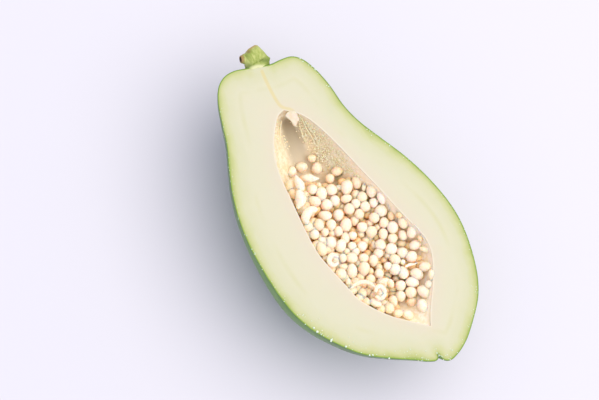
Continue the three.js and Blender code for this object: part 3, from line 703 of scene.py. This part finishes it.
def place_hidden_seeds(above):
    """Seeds of the layer under the top one, seen through the gaps."""
    draw = seed_random(SEED_RANDOM_START)
    places = []
    for row in range(26):
        for column in range(15):
            x = 64 + 4.9 * row + 3.2 * (next(draw) - 0.5)
            y = -32 + 4.9 * column + 3.2 * (next(draw) - 0.5)
            radius = 2.6 + 0.5 * next(draw)
            middle, half = cavity_edges(x)
            if x > 184 or abs(y - middle) > half - 3.2 or x < 70 + 0.42 * (y + 26):
                continue
            left_edge = max(0, -(y - middle) / half - 0.25)
            z = heap_height(x, y) - 4.3 - 1.8 * next(draw) + 2.4 * min(1, 2 * left_edge)
            at = np.array([x, y, z])
            if z > wall_height(x, y) + 0.3 * radius and not crowded(at, radius, above, 0.5):
                places.append({"at": at, "radius": radius, "edge": min(1, 2 * left_edge)})
    return places


def seed_mesh():
    """One seed with a slightly pointed end, modelled once."""
    piece = ball("seed_model", 9, 7)
    for vertex in piece.data.vertices:
        x, y, z = vertex.co
        taper = 1 - 0.07 * z - 0.03 * z * z
        vertex.co = (x * taper, z + 0.04 * z * z, -y * taper)
    return piece


def string_of(name, places, depth, tint):
    """A curved or tapered piece along a line of places, thick as given at each."""
    if depth is None:
        spots = np.array([wall_point(across, down, 0.2) for across, down, _ in places])
    else:
        spots = np.array([seen_point(across, down, depth) for across, down, _ in places])
    thick = MM_PER_PIXEL * np.array([place[2] for place in places])
    share = np.linspace(0, len(spots) - 1, 4 * len(spots) - 3)
    line = smooth_curve(spots, 4)[0] if len(spots) > 2 else spots
    thick = np.interp(share, np.arange(len(spots)), thick)
    ahead = np.gradient(line, axis=0)
    ahead /= np.linalg.norm(ahead, axis=1, keepdims=True)
    count = 10 if thick.max() > 0.8 else 6
    angle = np.linspace(0, 2 * np.pi, count, endpoint=False)[:, None]
    last = len(line) - 1
    # Rings of place on the line, shift along it and share of the thickness: the two end ones round the tips
    steps = [(0, -0.6, 0.7)] + [(index, 0, 1) for index in range(len(line))] + [(last, 0.6, 0.7)]
    rings = []
    for index, shift, width in steps:
        side = np.cross(ahead[index], sight_back)
        side /= np.linalg.norm(side)
        over = np.cross(side, ahead[index])
        round_it = side * np.cos(angle) + over * np.sin(angle)
        rings.append(line[index] + ahead[index] * shift * thick[index] + round_it * thick[index] * width)
    piece = tidy(ball_of_rings(name, line[0] - ahead[0] * thick[0], rings, line[-1] + ahead[-1] * thick[-1]))
    give_attribute(piece, "tint", np.full(len(piece.data.vertices), tint))
    give_attribute(piece, "below", np.zeros(len(piece.data.vertices)))
    return piece


def copy_at(at, scale, turn, tint, **more):
    return {"at": at, "scale": scale, "turn": turn, "tint": tint, **more}


def scattered(name, model, places, attributes):
    """Copies of one model, each a mesh of its own, joined as one piece; each copy carries its own values."""
    source = np.zeros(len(model.data.vertices) * 3, np.float32)
    model.data.vertices.foreach_get("co", source)
    source = source.reshape(-1, 3)
    copies = []
    for number, place in enumerate(places):
        copy = model.copy()
        copy.data = model.data.copy()
        bpy.context.scene.collection.objects.link(copy)
        uneven = 1 + 0.045 * wave(source, 0.55, number)[:, None] * place.get("uneven", 0)
        shape = source * uneven * np.array(place["scale"]) @ np.array(place["turn"]).T
        set_points(copy, shape + np.array(place["at"]))
        for key in attributes:
            give_attribute(copy, key, np.full(len(source), place[key]))
        copies.append(copy)
    bpy.data.objects.remove(model)
    return join(name, copies)


# Shape of the fruit and of its hollow
walk = square_walk(112, 10)
fruit = HalfShape(RIM_RIGHT, RIM_LEFT, BACK, AXIS_DROP, RIB_HEIGHT, 0)
strand_line = smooth_curve([seen_point(across, down, 0)[:2] for across, down in STRAND])[0]
hollow = HalfShape(CAVITY_RIGHT, CAVITY_LEFT, CAVITY_BACK, (0, 0), 0, 1)
rim_line = outline(RIM_RIGHT, RIM_LEFT)
lip_line = outline(CAVITY_RIGHT, CAVITY_LEFT)
lip_ring = hollow.rings(walk, [0.0])[0]


def normals_of(rings):
    """Outward normals of a stack of rings of the curved side."""
    stack = np.array(rings)
    along = np.roll(stack, -1, axis=1) - np.roll(stack, 1, axis=1)
    down = np.gradient(stack, axis=0)
    normal = np.cross(along, down)
    length = np.linalg.norm(normal, axis=2, keepdims=True)
    normal = normal / np.maximum(length, 1e-9)
    weak = length[..., 0] < 1e-3
    middle = np.array([105, -2, -15])
    outward = stack - middle
    outward /= np.linalg.norm(outward, axis=2, keepdims=True)
    normal[weak] = outward[weak]
    turned = (normal * outward).sum(axis=2) < 0
    normal[turned] *= -1
    return normal


def moved_in(rings, distance):
    """The same rings moved inward, the first one only within the cut plane, towards the hollow."""
    moved = np.array(rings) - normals_of(rings) * distance
    inward = lip_ring - rings[0]
    moved[0] = rings[0] + inward / np.linalg.norm(inward, axis=1, keepdims=True) * distance
    return list(moved)


def flattened(rings, level=-REST_DEPTH):
    """The back is flattened slightly where it rests."""
    return [np.column_stack([ring[:, :2], np.maximum(ring[:, 2], level)]) for ring in rings]


# Skin: a thin shell whose cut edge shows as the green line round the flesh
skin_depths = np.concatenate([np.linspace(0, 0.12, 6)[:-1], np.linspace(0.12, math.pi / 2, 30)[:-1]])
outer = fruit.rings(walk, skin_depths)
inner = moved_in(outer, SKIN_THICKNESS)
outer_middle = fruit.middle()
outer_middle[2] = max(outer_middle[2], -REST_DEPTH)
inner_middle = outer_middle + np.array([0, 0, SKIN_THICKNESS])
edge = 0.62 * outer[0] + 0.38 * inner[0]
edge[:, 2] = 0.0
soft_outer = 0.9 * outer[0] + 0.1 * inner[0]
soft_outer[:, 2] = -0.03
skin_rings = flattened(inner[::-1], -REST_DEPTH + SKIN_THICKNESS)
skin_rings += [edge, soft_outer]
skin_rings += flattened(outer[1:])
skin = ball_of_rings("skin", inner_middle, skin_rings, outer_middle)
tidy(skin)
points = drawing_points(skin)
give_attribute(skin, "depth_mm", -points[:, 2])
give_attribute(skin, "rim_mm", distance_to(points, rim_line))
smooth(skin, 50)

# Flesh: the cut face, the wall of the hollow and, under the skin, its own outer side
flesh_depths = np.linspace(0, math.pi / 2, 16)[:-1]
body = moved_in(fruit.rings(walk, flesh_depths), FLESH_INSET)
wall_depths = np.concatenate([np.linspace(0.05, 0.3, 7)[:-1], np.linspace(0.3, math.pi / 2, 26)[:-1]])
wall = hollow.rings(walk, wall_depths)
shares = np.concatenate([[0.0, 0.012, 0.03, 0.06], np.linspace(0.1, 0.94, 22), [0.97, 1.0]])
face_rings = [lip_ring * (1 - share) + body[0] * share for share in shares]
for ring in wall:
    ring[:, 2] += 0.35 * wave(ring, 3.4, 4) * np.clip(-ring[:, 2] / 4, 0, 1)
for index, ring in enumerate(face_rings):
    ring[:, 2] = -0.02 + 0.05 * wave(ring, 16, 7) * np.clip(distance_to(ring, rim_line) / 4, 0, 1)
    ring[:, 2] -= 0.22 * max(0, 1 - index / 2.4) ** 2
wall_middle = hollow.middle()
flesh_bottom = fruit.middle()
flesh_bottom[2] = -REST_DEPTH + FLESH_INSET
flesh_rings = flattened(wall[::-1] + face_rings + body[1:], -REST_DEPTH + FLESH_INSET)
flesh = ball_of_rings("flesh", wall_middle, flesh_rings, flesh_bottom)
tidy(flesh)
points = drawing_points(flesh)
near_stalk = off_mark(points, STALK_FOOT)
give_attribute(flesh, "rim_mm", distance_to(points, rim_line) + 7 * np.exp(-(near_stalk ** 2)))
give_attribute(flesh, "lip_mm", distance_to(points, lip_line))
give_attribute(flesh, "strand_mm", distance_to(points, strand_line))
give_attribute(flesh, "depth_mm", -points[:, 2])
give_attribute(flesh, "along_mm", points[:, 0])
middle, half = cavity_edges(points[:, 0])
seen = seen_pixels(points)
# Painted shade of the valley: strongest on its line, with its place along it for grading the shade
along_valley = np.clip((seen - VALLEY_START) @ VALLEY_RUN / (VALLEY_RUN @ VALLEY_RUN), 0, 1)[:, None]
off_valley = np.linalg.norm(seen - VALLEY_START - along_valley * VALLEY_RUN, axis=1)
give_attribute(flesh, "valley", np.clip(1.9 - off_valley / (5.2 + 2.4 * along_valley[:, 0]), 0, 1))
give_attribute(flesh, "valley_end", along_valley[:, 0])
give_attribute(flesh, "side", (points[:, 1] - middle) / np.maximum(half, 1))
smooth(flesh, 50)

# Torn tongue of white pith over the tip of the hollow
start_clean()
tongue_line = np.array([seen_point(across, down, 0)[:2] for across, down in TONGUE])
tongue_line = smooth_curve(np.vstack([tongue_line, tongue_line[:1]]), 3)[0][:-1]
bpy.ops.mesh.primitive_circle_add(vertices=len(tongue_line), radius=1, fill_type="NGON")
tongue = named("pith_tongue")
set_points(tongue, np.column_stack([tongue_line, np.zeros(len(tongue_line))]))
bpy.ops.object.mode_set(mode="EDIT")
bpy.ops.mesh.select_all(action="SELECT")
bpy.ops.mesh.extrude_region_move(TRANSFORM_OT_translate={"value": (0, 0, -0.0011)})
bpy.ops.mesh.select_all(action="SELECT")
bpy.ops.mesh.normals_make_consistent(inside=False)
bpy.ops.mesh.bevel(offset=0.0003, segments=2, affect="EDGES", clamp_overlap=True)
bpy.ops.object.mode_set(mode="OBJECT")
points = drawing_points(tongue)
points[:, 2] += 0.04 + 0.08 * wave(points, 2.0, 12) - 0.012 * np.clip(points[:, 0] - 33, 0, 20) ** 2
set_points(tongue, points)
smooth(tongue, 60)

# Seeds that show, each leaning as seen, then the layer under them
chance = np.random.default_rng(5)
view_turn = np.column_stack([sight_right, sight_up, sight_back])
places = []
top_seeds = place_seeds()
for seed in top_seeds:
    lean = math.radians(-seed["lean"])
    flip = math.pi if chance.uniform() > 0.5 else 0
    turn = view_turn @ np.array(Euler((0, 0, lean + flip)).to_matrix())
    # Painted shade: seeds of lower layers get a darker, warmer peach, as shaded copies of the same seed
    below = seed["layer"] / 3 if seed["layer"] < 3 else 0.1
    tint = chance.uniform(0, 0.8)
    places.append(copy_at(seed["at"], seed["size"] * SEED_SWELL, turn, tint, below=below, uneven=1))
for seed in place_hidden_seeds(top_seeds):
    turn = np.array(Euler(tuple(chance.uniform(0, 3, 3))).to_matrix())
    size = seed["radius"] * np.array([1.05, 1.25, 1.05])
    # Painted shade for the hidden layer, less of it near the high left edge
    below = 1 - 0.7 * seed["edge"]
    places.append(copy_at(seed["at"], size, turn, chance.uniform(0, 1), below=below, uneven=1))
heap = scattered("seed_copies", seed_mesh(), places, ["tint", "below"])
strings = [string_of("string", *string) for string in SEEN_STRINGS]
seeds = join("seed_heap", [heap] + strings)
smooth(seeds)

# Grains and folds on the wall of the hollow
def chance_turn():
    return np.array(Euler((0, 0, chance.uniform(0, 3))).to_matrix())


def grain_at(at, size):
    scale = size * np.array([chance.uniform(1, 1.7), 1, 1])
    turn = chance_turn()
    return copy_at(at, scale, turn, chance.uniform(0, 1))


start_clean()
bpy.ops.mesh.primitive_ico_sphere_add(subdivisions=1, radius=1)
grain_model = named("grain_model")
places = []
for line, half_width, count in WALL_GRAINS:
    path = smooth_curve(line, 12)[0]
    for _ in range(count):
        spot = path[chance.integers(len(path))] + chance.normal(0, half_width * 0.5, 2)
        size = chance.uniform(0.24, 0.66)
        at = wall_point(spot[0], spot[1], 0.1)
        middle, half = cavity_edges(at[0])
        if at[2] <= -1.2 and abs(at[1] - middle) <= half - 0.6:
            places.append(grain_at(at, size))
for _ in range(420):
    share = 0.03 + 0.3 * chance.uniform() ** 0.8
    angle = 0.1 + 0.75 * chance.uniform()
    size = chance.uniform(0.22, 0.5)
    places.append(grain_at(hollow.at(np.array([share]), np.array([angle]))[0], size))
grains = scattered("wall_grains", grain_model, places, ["tint"])
folds = [string_of("fold", *fold) for fold in WALL_FOLDS]
grains = join("wall_grains", [grains] + folds)
smooth(grains)

# Placental bed under the seeds
bed = ball("seed_bed", 96, 24)
points = []
for vertex in bed.data.vertices:
    x, y, z = vertex.co
    along = BED_MIDDLE + BED_REACH * x
    middle, half = cavity_edges(min(189, max(57, along)))
    across = middle + (half - BED_GAP) * (y / max(1e-6, math.sqrt(max(1e-6, 1 - x * x)))) * 0.985
    across = min(middle + half - BED_GAP, max(middle - half + BED_GAP, across))
    top = heap_height(along, across) - BED_DEPTH
    aside = min(1, abs(across - middle) / half)
    low = wall_height(along, across) - 1.6 - 5 * aside ** 4
    points.append((along, across, max(top, low + 0.4) if z >= 0 else low))
points = np.array(points)
points[:, 2] += 0.3 * wave(points, 2.2, 31) * (np.array([v.co.z for v in bed.data.vertices]) > 0)
set_points(bed, points)
tidy(bed)
points = drawing_points(bed)
middle, half = cavity_edges(points[:, 0])
give_attribute(bed, "side", (points[:, 1] - middle) / np.maximum(half, 1))
give_attribute(bed, "along_mm", points[:, 0])
smooth(bed)

# Stalk stub
stalk_table = np.array(STALK_RINGS)[::-1]


def stalk_value(column, x):
    return np.interp(x, stalk_table[:, 0], stalk_table[:, column])


rings = []
for x in np.linspace(STALK_RINGS[0][0], STALK_RINGS[-1][0], 34):
    angle = np.linspace(0, 2 * np.pi, STALK_SIDES, endpoint=False)
    ridge = 1 + 0.035 * np.cos(5 * angle)
    # Small folds where the stalk meets the fruit
    lobe = 0.17 * math.exp(-(((x - LOBES_AT) / 1.5) ** 2)) * np.maximum(0, np.cos(6 * angle - 2.2)) ** 1.5
    y = stalk_value(1, x) + stalk_value(3, x) * (ridge + lobe) * np.cos(angle)
    z = stalk_value(2, x) + stalk_value(4, x) * (ridge + lobe) * np.sin(angle)
    ring = np.column_stack([np.full(STALK_SIDES, x), y, z])
    centre = np.array([x, stalk_value(1, x), stalk_value(2, x)])
    ring = centre + (ring - centre) * (1 + 0.028 * wave(ring, 1.1, 19)[:, None])
    # The knife passed through the stalk's base
    if x > KNIFE_END:
        ring[:, 2] = np.minimum(ring[:, 2], 0.02)
    rings.append(ring)
stem = ball_of_rings("stalk", STALK_ROOT, rings, STALK_TOP)
tidy(stem)

# The stump of a broken side bud, with a hollow end
way = BUD_WAY / np.linalg.norm(BUD_WAY)
sideways = np.cross(way, [0, 0, 1])
sideways /= np.linalg.norm(sideways)
over = np.cross(sideways, way)
rings = []
angle = np.linspace(0, 2 * np.pi, BUD_SIDES, endpoint=False)[:, None]
for out, wide in BUD_RINGS:
    ring = SCAR + way * out + wide * (sideways * np.cos(angle) * 1.1 + over * np.sin(angle) * 0.9)
    rings.append(ring + 0.16 * wave(ring, 0.8, 23)[:, None] * way)
bud = ball_of_rings("bud", SCAR - way * 2, rings, SCAR + way * 0.5)
tidy(bud)
from_scar = drawing_points(bud) - SCAR
out = from_scar @ way
off = np.linalg.norm(from_scar - np.outer(out, way), axis=1)
give_attribute(stem, "scar_mm", np.linalg.norm(drawing_points(stem) - SCAR, axis=1))
give_attribute(bud, "scar_mm", np.where(out > 0.2, np.minimum(3.2, off * 1.05), 4.0))
stem = join("stalk", [stem, bud])
points = drawing_points(stem)
give_attribute(stem, "along_mm", points[:, 0])
give_attribute(stem, "cut", np.clip(1.5 - off_mark(points, CUT_PATCH), 0, 1))
# Painted shade in the creases at the stalk's foot, carried by the fold attribute
fold = sum(np.exp(-(off_mark(points, mark) ** 2)) for mark in FOOT_FOLD_SHADES)
give_attribute(stem, "fold", np.clip(fold, 0, 1))
give_attribute(stem, "spot", np.clip(np.exp(-(off_mark(points, BROWN_SPOT) ** 2)), 0, 1))
smooth(stem, 60)

# Milky sap beads along the cut rim
rim_places = smooth_curve(RIM_RIGHT)[0], smooth_curve(RIM_LEFT)[0]


def bead_places():
    spots = []

    def add(side, low, high, count, inset, sizes):
        line = rim_places[side]
        chosen = line[(line[:, 0] > low) & (line[:, 0] < high)]
        for _ in range(count):
            at = chosen[chance.integers(len(chosen))] + chance.uniform(-0.8, 0.8, 2)
            inward = np.array([110, 0]) - at
            inward = inward / np.linalg.norm(inward)
            if side == 1 and at[0] < 150:
                inward = np.array([0.1, 1])
            spots.append((at + inward * abs(chance.normal(0.4, inset)), chance.uniform(*sizes)))

    add(1, 138, 210, 60, 3.2, (0.14, 0.38))
    add(1, 150, 208, 8, 0.5, (0.6, 0.9))
    add(1, 10, 135, 60, 1.0, (0.14, 0.3))
    add(0, 176, 216, 40, 3.0, (0.14, 0.38))
    add(0, 8, 32, 20, 1.3, (0.15, 0.4))
    add(0, 66, 84, 8, 0.9, (0.2, 0.5))
    add(0, 90, 176, 26, 1.0, (0.12, 0.26))
    return spots


bead_model = ball("bead_model", 8, 5)
places = []
for at, radius in bead_places():
    tint = min(1.0, distance_to(np.array([[at[0], at[1]]]), rim_line)[0])
    scale = (radius, radius * chance.uniform(0.85, 1.1), radius * 0.8)
    places.append(copy_at((at[0], at[1], radius * 0.35 - 0.02), scale, chance_turn(), tint))
beads = scattered("sap_beads", bead_model, places, ["tint"])
smooth(beads)

# Materials
def skin_look():
    look = Material("skin", 0.3, IOR=1.45)
    mottle = look.noise(16, 5, 0.6, (0.35, 1, 1))
    fine = look.noise(160, 4, 0.6)
    specks = look.noise(420, 2, 0.5).smooth_step(0.66, 0.78)
    colour = look.mix(mottle.smooth_step(0.35, 0.66), srgb(62, 104, 34), srgb(92, 138, 44))
    colour = look.mix(fine.smooth_step(0.5, 0.9) * 0.5, colour, srgb(134, 172, 62))
    colour = look.mix(specks * 0.35, colour, srgb(176, 196, 110))
    band = look.fade("depth_mm", 0.25, 0.0)
    edge_share = look.fade("rim_mm", 0.1, 0.75)
    band_colour = look.mix(edge_share, srgb(74, 104, 14), srgb(138, 168, 48))
    look.set("Base Color", look.mix(band, colour, band_colour))
    look.bump(fine + mottle * 0.5, 0.12, 0.0006)
    return look


def flesh_look():
    look = Material("flesh", 0.42, Subsurface_Weight=0.25, Subsurface_Scale=0.004)
    look.shader.inputs["Subsurface Radius"].default_value = (1.0, 0.75, 0.4)
    rim = look.attribute("rim_mm")
    grain = look.noise(90, 5, 0.6)
    patches = look.noise(22, 4, 0.55)
    streaks = look.noise(60, 5, 0.7, (0.3, 1, 1))
    rim_uneven = rim + ((patches - 0.5) * 6.0 + (grain - 0.5) * 3.4 + (streaks - 0.5) * 5.0) * (
        rim.smooth_step(0.0, 5.0) + 0.22
    )
    tone = look.ramp(
        rim_uneven / 40.0,
        [
            (0.0, srgb(122, 154, 42)),
            (0.012, srgb(170, 192, 82)),
            (0.035, srgb(208, 216, 134)),
            (0.085, srgb(225, 228, 168)),
            (0.17, srgb(234, 234, 194)),
            (0.34, srgb(240, 238, 206)),
            (1.0, srgb(245, 238, 212)),
        ],
    )
    lip_near = look.fade("lip_mm", 11.0, 0.5)
    tone = look.mix(lip_near * 0.6, tone, srgb(246, 234, 210))
    vein = (rim + (patches - 0.5) * 3.0 - 14.5).math("ABSOLUTE").smooth_step(2.6, 0.0)
    tone = look.mix(vein * patches.smooth_step(0.4, 0.62) * 0.28, tone, srgb(222, 222, 140))
    strand = look.fade("strand_mm", 1.7, 0.5)
    tone = look.mix(strand * 0.55, tone, srgb(246, 226, 150))
    wall_share = look.fade("depth_mm", 0.2, 2.0)
    wall_noise = look.noise(330, 4, 0.65)
    wall_tone = look.mix(wall_noise.smooth_step(0.42, 0.6), srgb(238, 222, 180), srgb(250, 242, 218))
    # Painted shade: the wall is made darker deeper down in the hollow
    deep_shade = look.fade("depth_mm", 7.0, 17.0)
    wall_tone = look.mix(deep_shade * 0.35, wall_tone, srgb(226, 208, 168))
    # Painted light: the wall is made paler near the lip, in place of the shade under it
    lip_painted_light = look.fade("depth_mm", 9.0, 2.0)
    wall_tone = look.mix(lip_painted_light * 0.5, wall_tone, srgb(255, 244, 214))
    wall_neck = look.fade("along_mm", 86.0, 60.0)
    neck_tone = look.mix(wall_noise.smooth_step(0.4, 0.62), srgb(228, 208, 166), srgb(246, 232, 200))
    wall_tone = look.mix(wall_neck * 0.8, wall_tone, neck_tone)
    # Painted shade in the valley at the neck end: darkest at its start under the torn pith, lighter along it
    valley_shade_tone = look.mix(look.attribute("valley_end"), srgb(150, 132, 96), srgb(202, 188, 158))
    wall_tone = look.mix(look.attribute("valley"), wall_tone, valley_shade_tone)
    lip_line_share = look.fade("lip_mm", 1.1, 0.1)
    tone = look.mix(1.0, tone, (0.652, 0.648, 0.607, 1), "MULTIPLY")
    base = look.mix(wall_share, tone, wall_tone)
    base = look.mix(lip_line_share * 0.4, base, srgb(232, 224, 204))
    look.set("Base Color", base)
    look.bump(grain * 0.6 + wall_noise * wall_share * 1.4, 0.15, 0.0004)
    return look


def pith_look():
    look = Material("pith", 0.5, Subsurface_Weight=0.3, Subsurface_Scale=0.003)
    share = look.noise(300, 3).smooth_step(0.4, 0.7)
    look.set("Base Color", look.mix(share, srgb(216, 204, 178), srgb(212, 196, 160)))
    return look


def seed_look():
    look = Material("seed", 0.36, Subsurface_Weight=0.9, Subsurface_Scale=0.004)
    look.shader.inputs["Subsurface Radius"].default_value = (1.0, 0.6, 0.35)
    tint = look.attribute("tint")
    seed_tone = look.mix(tint, srgb(255, 232, 210), srgb(252, 221, 186))
    # Painted shade: lower seeds are mixed towards a darker, warmer peach
    seed_tone = look.mix(look.attribute("below") * 0.85, seed_tone, srgb(255, 200, 138))
    # Painted highlight: pale specks scattered over the seeds
    painted_highlight_specks = look.noise(500, 3).smooth_step(0.45, 0.75) * 0.25
    seed_tone = look.mix(painted_highlight_specks, seed_tone, srgb(255, 238, 216))
    look.set("Base Color", seed_tone)
    look.bump(look.noise(420, 3), 0.12, 0.0003)
    return look


def bed_look():
    look = Material("seed_bed", 0.6, Subsurface_Weight=0.4, Subsurface_Scale=0.005)
    bed_tone = look.mix(look.noise(240, 4).smooth_step(0.35, 0.7), srgb(250, 178, 96), srgb(255, 206, 136))
    bed_wall = look.mix(look.noise(330, 4).smooth_step(0.42, 0.6), srgb(216, 192, 146), srgb(232, 212, 170))
    bed_side = look.fade("side", 0.3, 0.62)
    bed_end = look.fade("along_mm", 170, 176)
    bed_front = look.fade("along_mm", 96, 86)
    look.set("Base Color", look.mix((bed_side + bed_end + bed_front).clamped(), bed_tone, bed_wall))
    return look


def grain_look():
    look = Material("wall_grain", 0.4, Subsurface_Weight=0.3, Subsurface_Scale=0.002)
    look.set("Base Color", look.mix(look.attribute("tint"), srgb(252, 240, 208), srgb(240, 222, 174)))
    return look


def stem_look():
    look = Material("stalk", 0.6)
    stalk_noise = look.noise(330, 5, 0.6, (0.4, 1, 1))
    stalk_tone = look.mix(stalk_noise.smooth_step(0.35, 0.65), srgb(140, 156, 62), srgb(188, 194, 112))
    top = look.fade("along_mm", -11.0, -13.2)
    stalk_tone = look.mix(top * 0.75, stalk_tone, srgb(176, 138, 78))
    foot = look.fade("along_mm", -4.6, -2.4)
    stalk_tone = look.mix(foot * 0.35, stalk_tone, srgb(122, 146, 54))
    # Painted shade: dark olive in the creases at the stalk's foot
    stalk_tone = look.mix(look.attribute("fold") * 0.85, stalk_tone, srgb(96, 116, 36))
    stalk_tone = look.mix(look.attribute("spot") * 0.8, stalk_tone, srgb(132, 92, 62))
    stalk_tone = look.mix(look.fade("cut", 0.25, 0.9), stalk_tone, srgb(208, 208, 156))
    scar = look.attribute("scar_mm")
    stalk_tone = look.mix(scar.smooth_step(3.3, 2.2) * 0.85, stalk_tone, srgb(150, 112, 62))
    stalk_tone = look.mix(scar.smooth_step(1.9, 1.4), stalk_tone, srgb(62, 38, 22))
    look.set("Base Color", stalk_tone)
    look.bump(stalk_noise, 0.35, 0.0005)
    return look


def sap_look():
    look = Material("sap", 0.12, Subsurface_Weight=0.2, Subsurface_Scale=0.001)
    look.set("Base Color", srgb(218, 230, 206))
    return look


finish_piece(skin, skin_look(), "fruit_half")
finish_piece(flesh, flesh_look(), "fruit_half")
finish_piece(tongue, pith_look(), "fruit_half")
finish_piece(seeds, seed_look(), "seeds")
finish_piece(bed, bed_look(), "seeds")
finish_piece(grains, grain_look(), "fruit_half")
finish_piece(stem, stem_look(), "stem")
finish_piece(beads, sap_look(), "fruit_half")

# Floor, light and camera
start_clean()
bpy.ops.mesh.primitive_plane_add(size=6, location=(0, 0, 0))
floor = named("floor")
floor_material = Material("floor", 0.55)
floor_material.set("Base Color", (0.662, 0.65, 0.672, 1))
floor_material.shader.inputs["Specular IOR Level"].default_value = 0.15
floor.data.materials.append(floor_material.data)

world = bpy.data.worlds.new("world")
bpy.context.scene.world = world
world.use_nodes = True
world.node_tree.nodes["Background"].inputs[0].default_value = (0.81, 0.822, 1.03, 1)
world.node_tree.nodes["Background"].inputs[1].default_value = 1.05

target = Vector(SIGHT_TARGET + DRAWING_SHIFT)
back, right, up = Vector(sight_back), Vector(sight_right), Vector(sight_up)


def area_light(name, toward, distance, size, power, colour):
    start_clean()
    bpy.ops.object.light_add(type="AREA")
    light = bpy.context.view_layer.objects.active
    light.name = name
    light.data.size = size
    light.data.energy = power
    light.data.color = colour
    way = Vector(toward).normalized()
    light.location = way * distance
    light.rotation_mode = "QUATERNION"
    light.rotation_quaternion = way.to_track_quat("Z", "Y")


area_light("key", up * 0.1 + right * 0.26 + Vector((0, 0, 1)), 1.5, 2.2, 22.5, (1, 0.94, 0.78))

start_clean()
bpy.ops.object.camera_add()
camera = bpy.context.view_layer.objects.active
camera.data.sensor_width = SENSOR_WIDTH
camera.data.lens = FOCAL_PIXELS * SENSOR_WIDTH / PICTURE_WIDTH
camera.data.clip_start = 0.05
camera.data.clip_end = 20
place = (target + back * SIGHT_DISTANCE) * MM
camera.matrix_world = Matrix(
    (
        (right.x, up.x, back.x, place.x),
        (right.y, up.y, back.y, place.y),
        (right.z, up.z, back.z, place.z),
        (0, 0, 0, 1),
    )
)
bpy.context.scene.camera = camera
bpy.context.scene.view_settings.view_transform = "Standard"
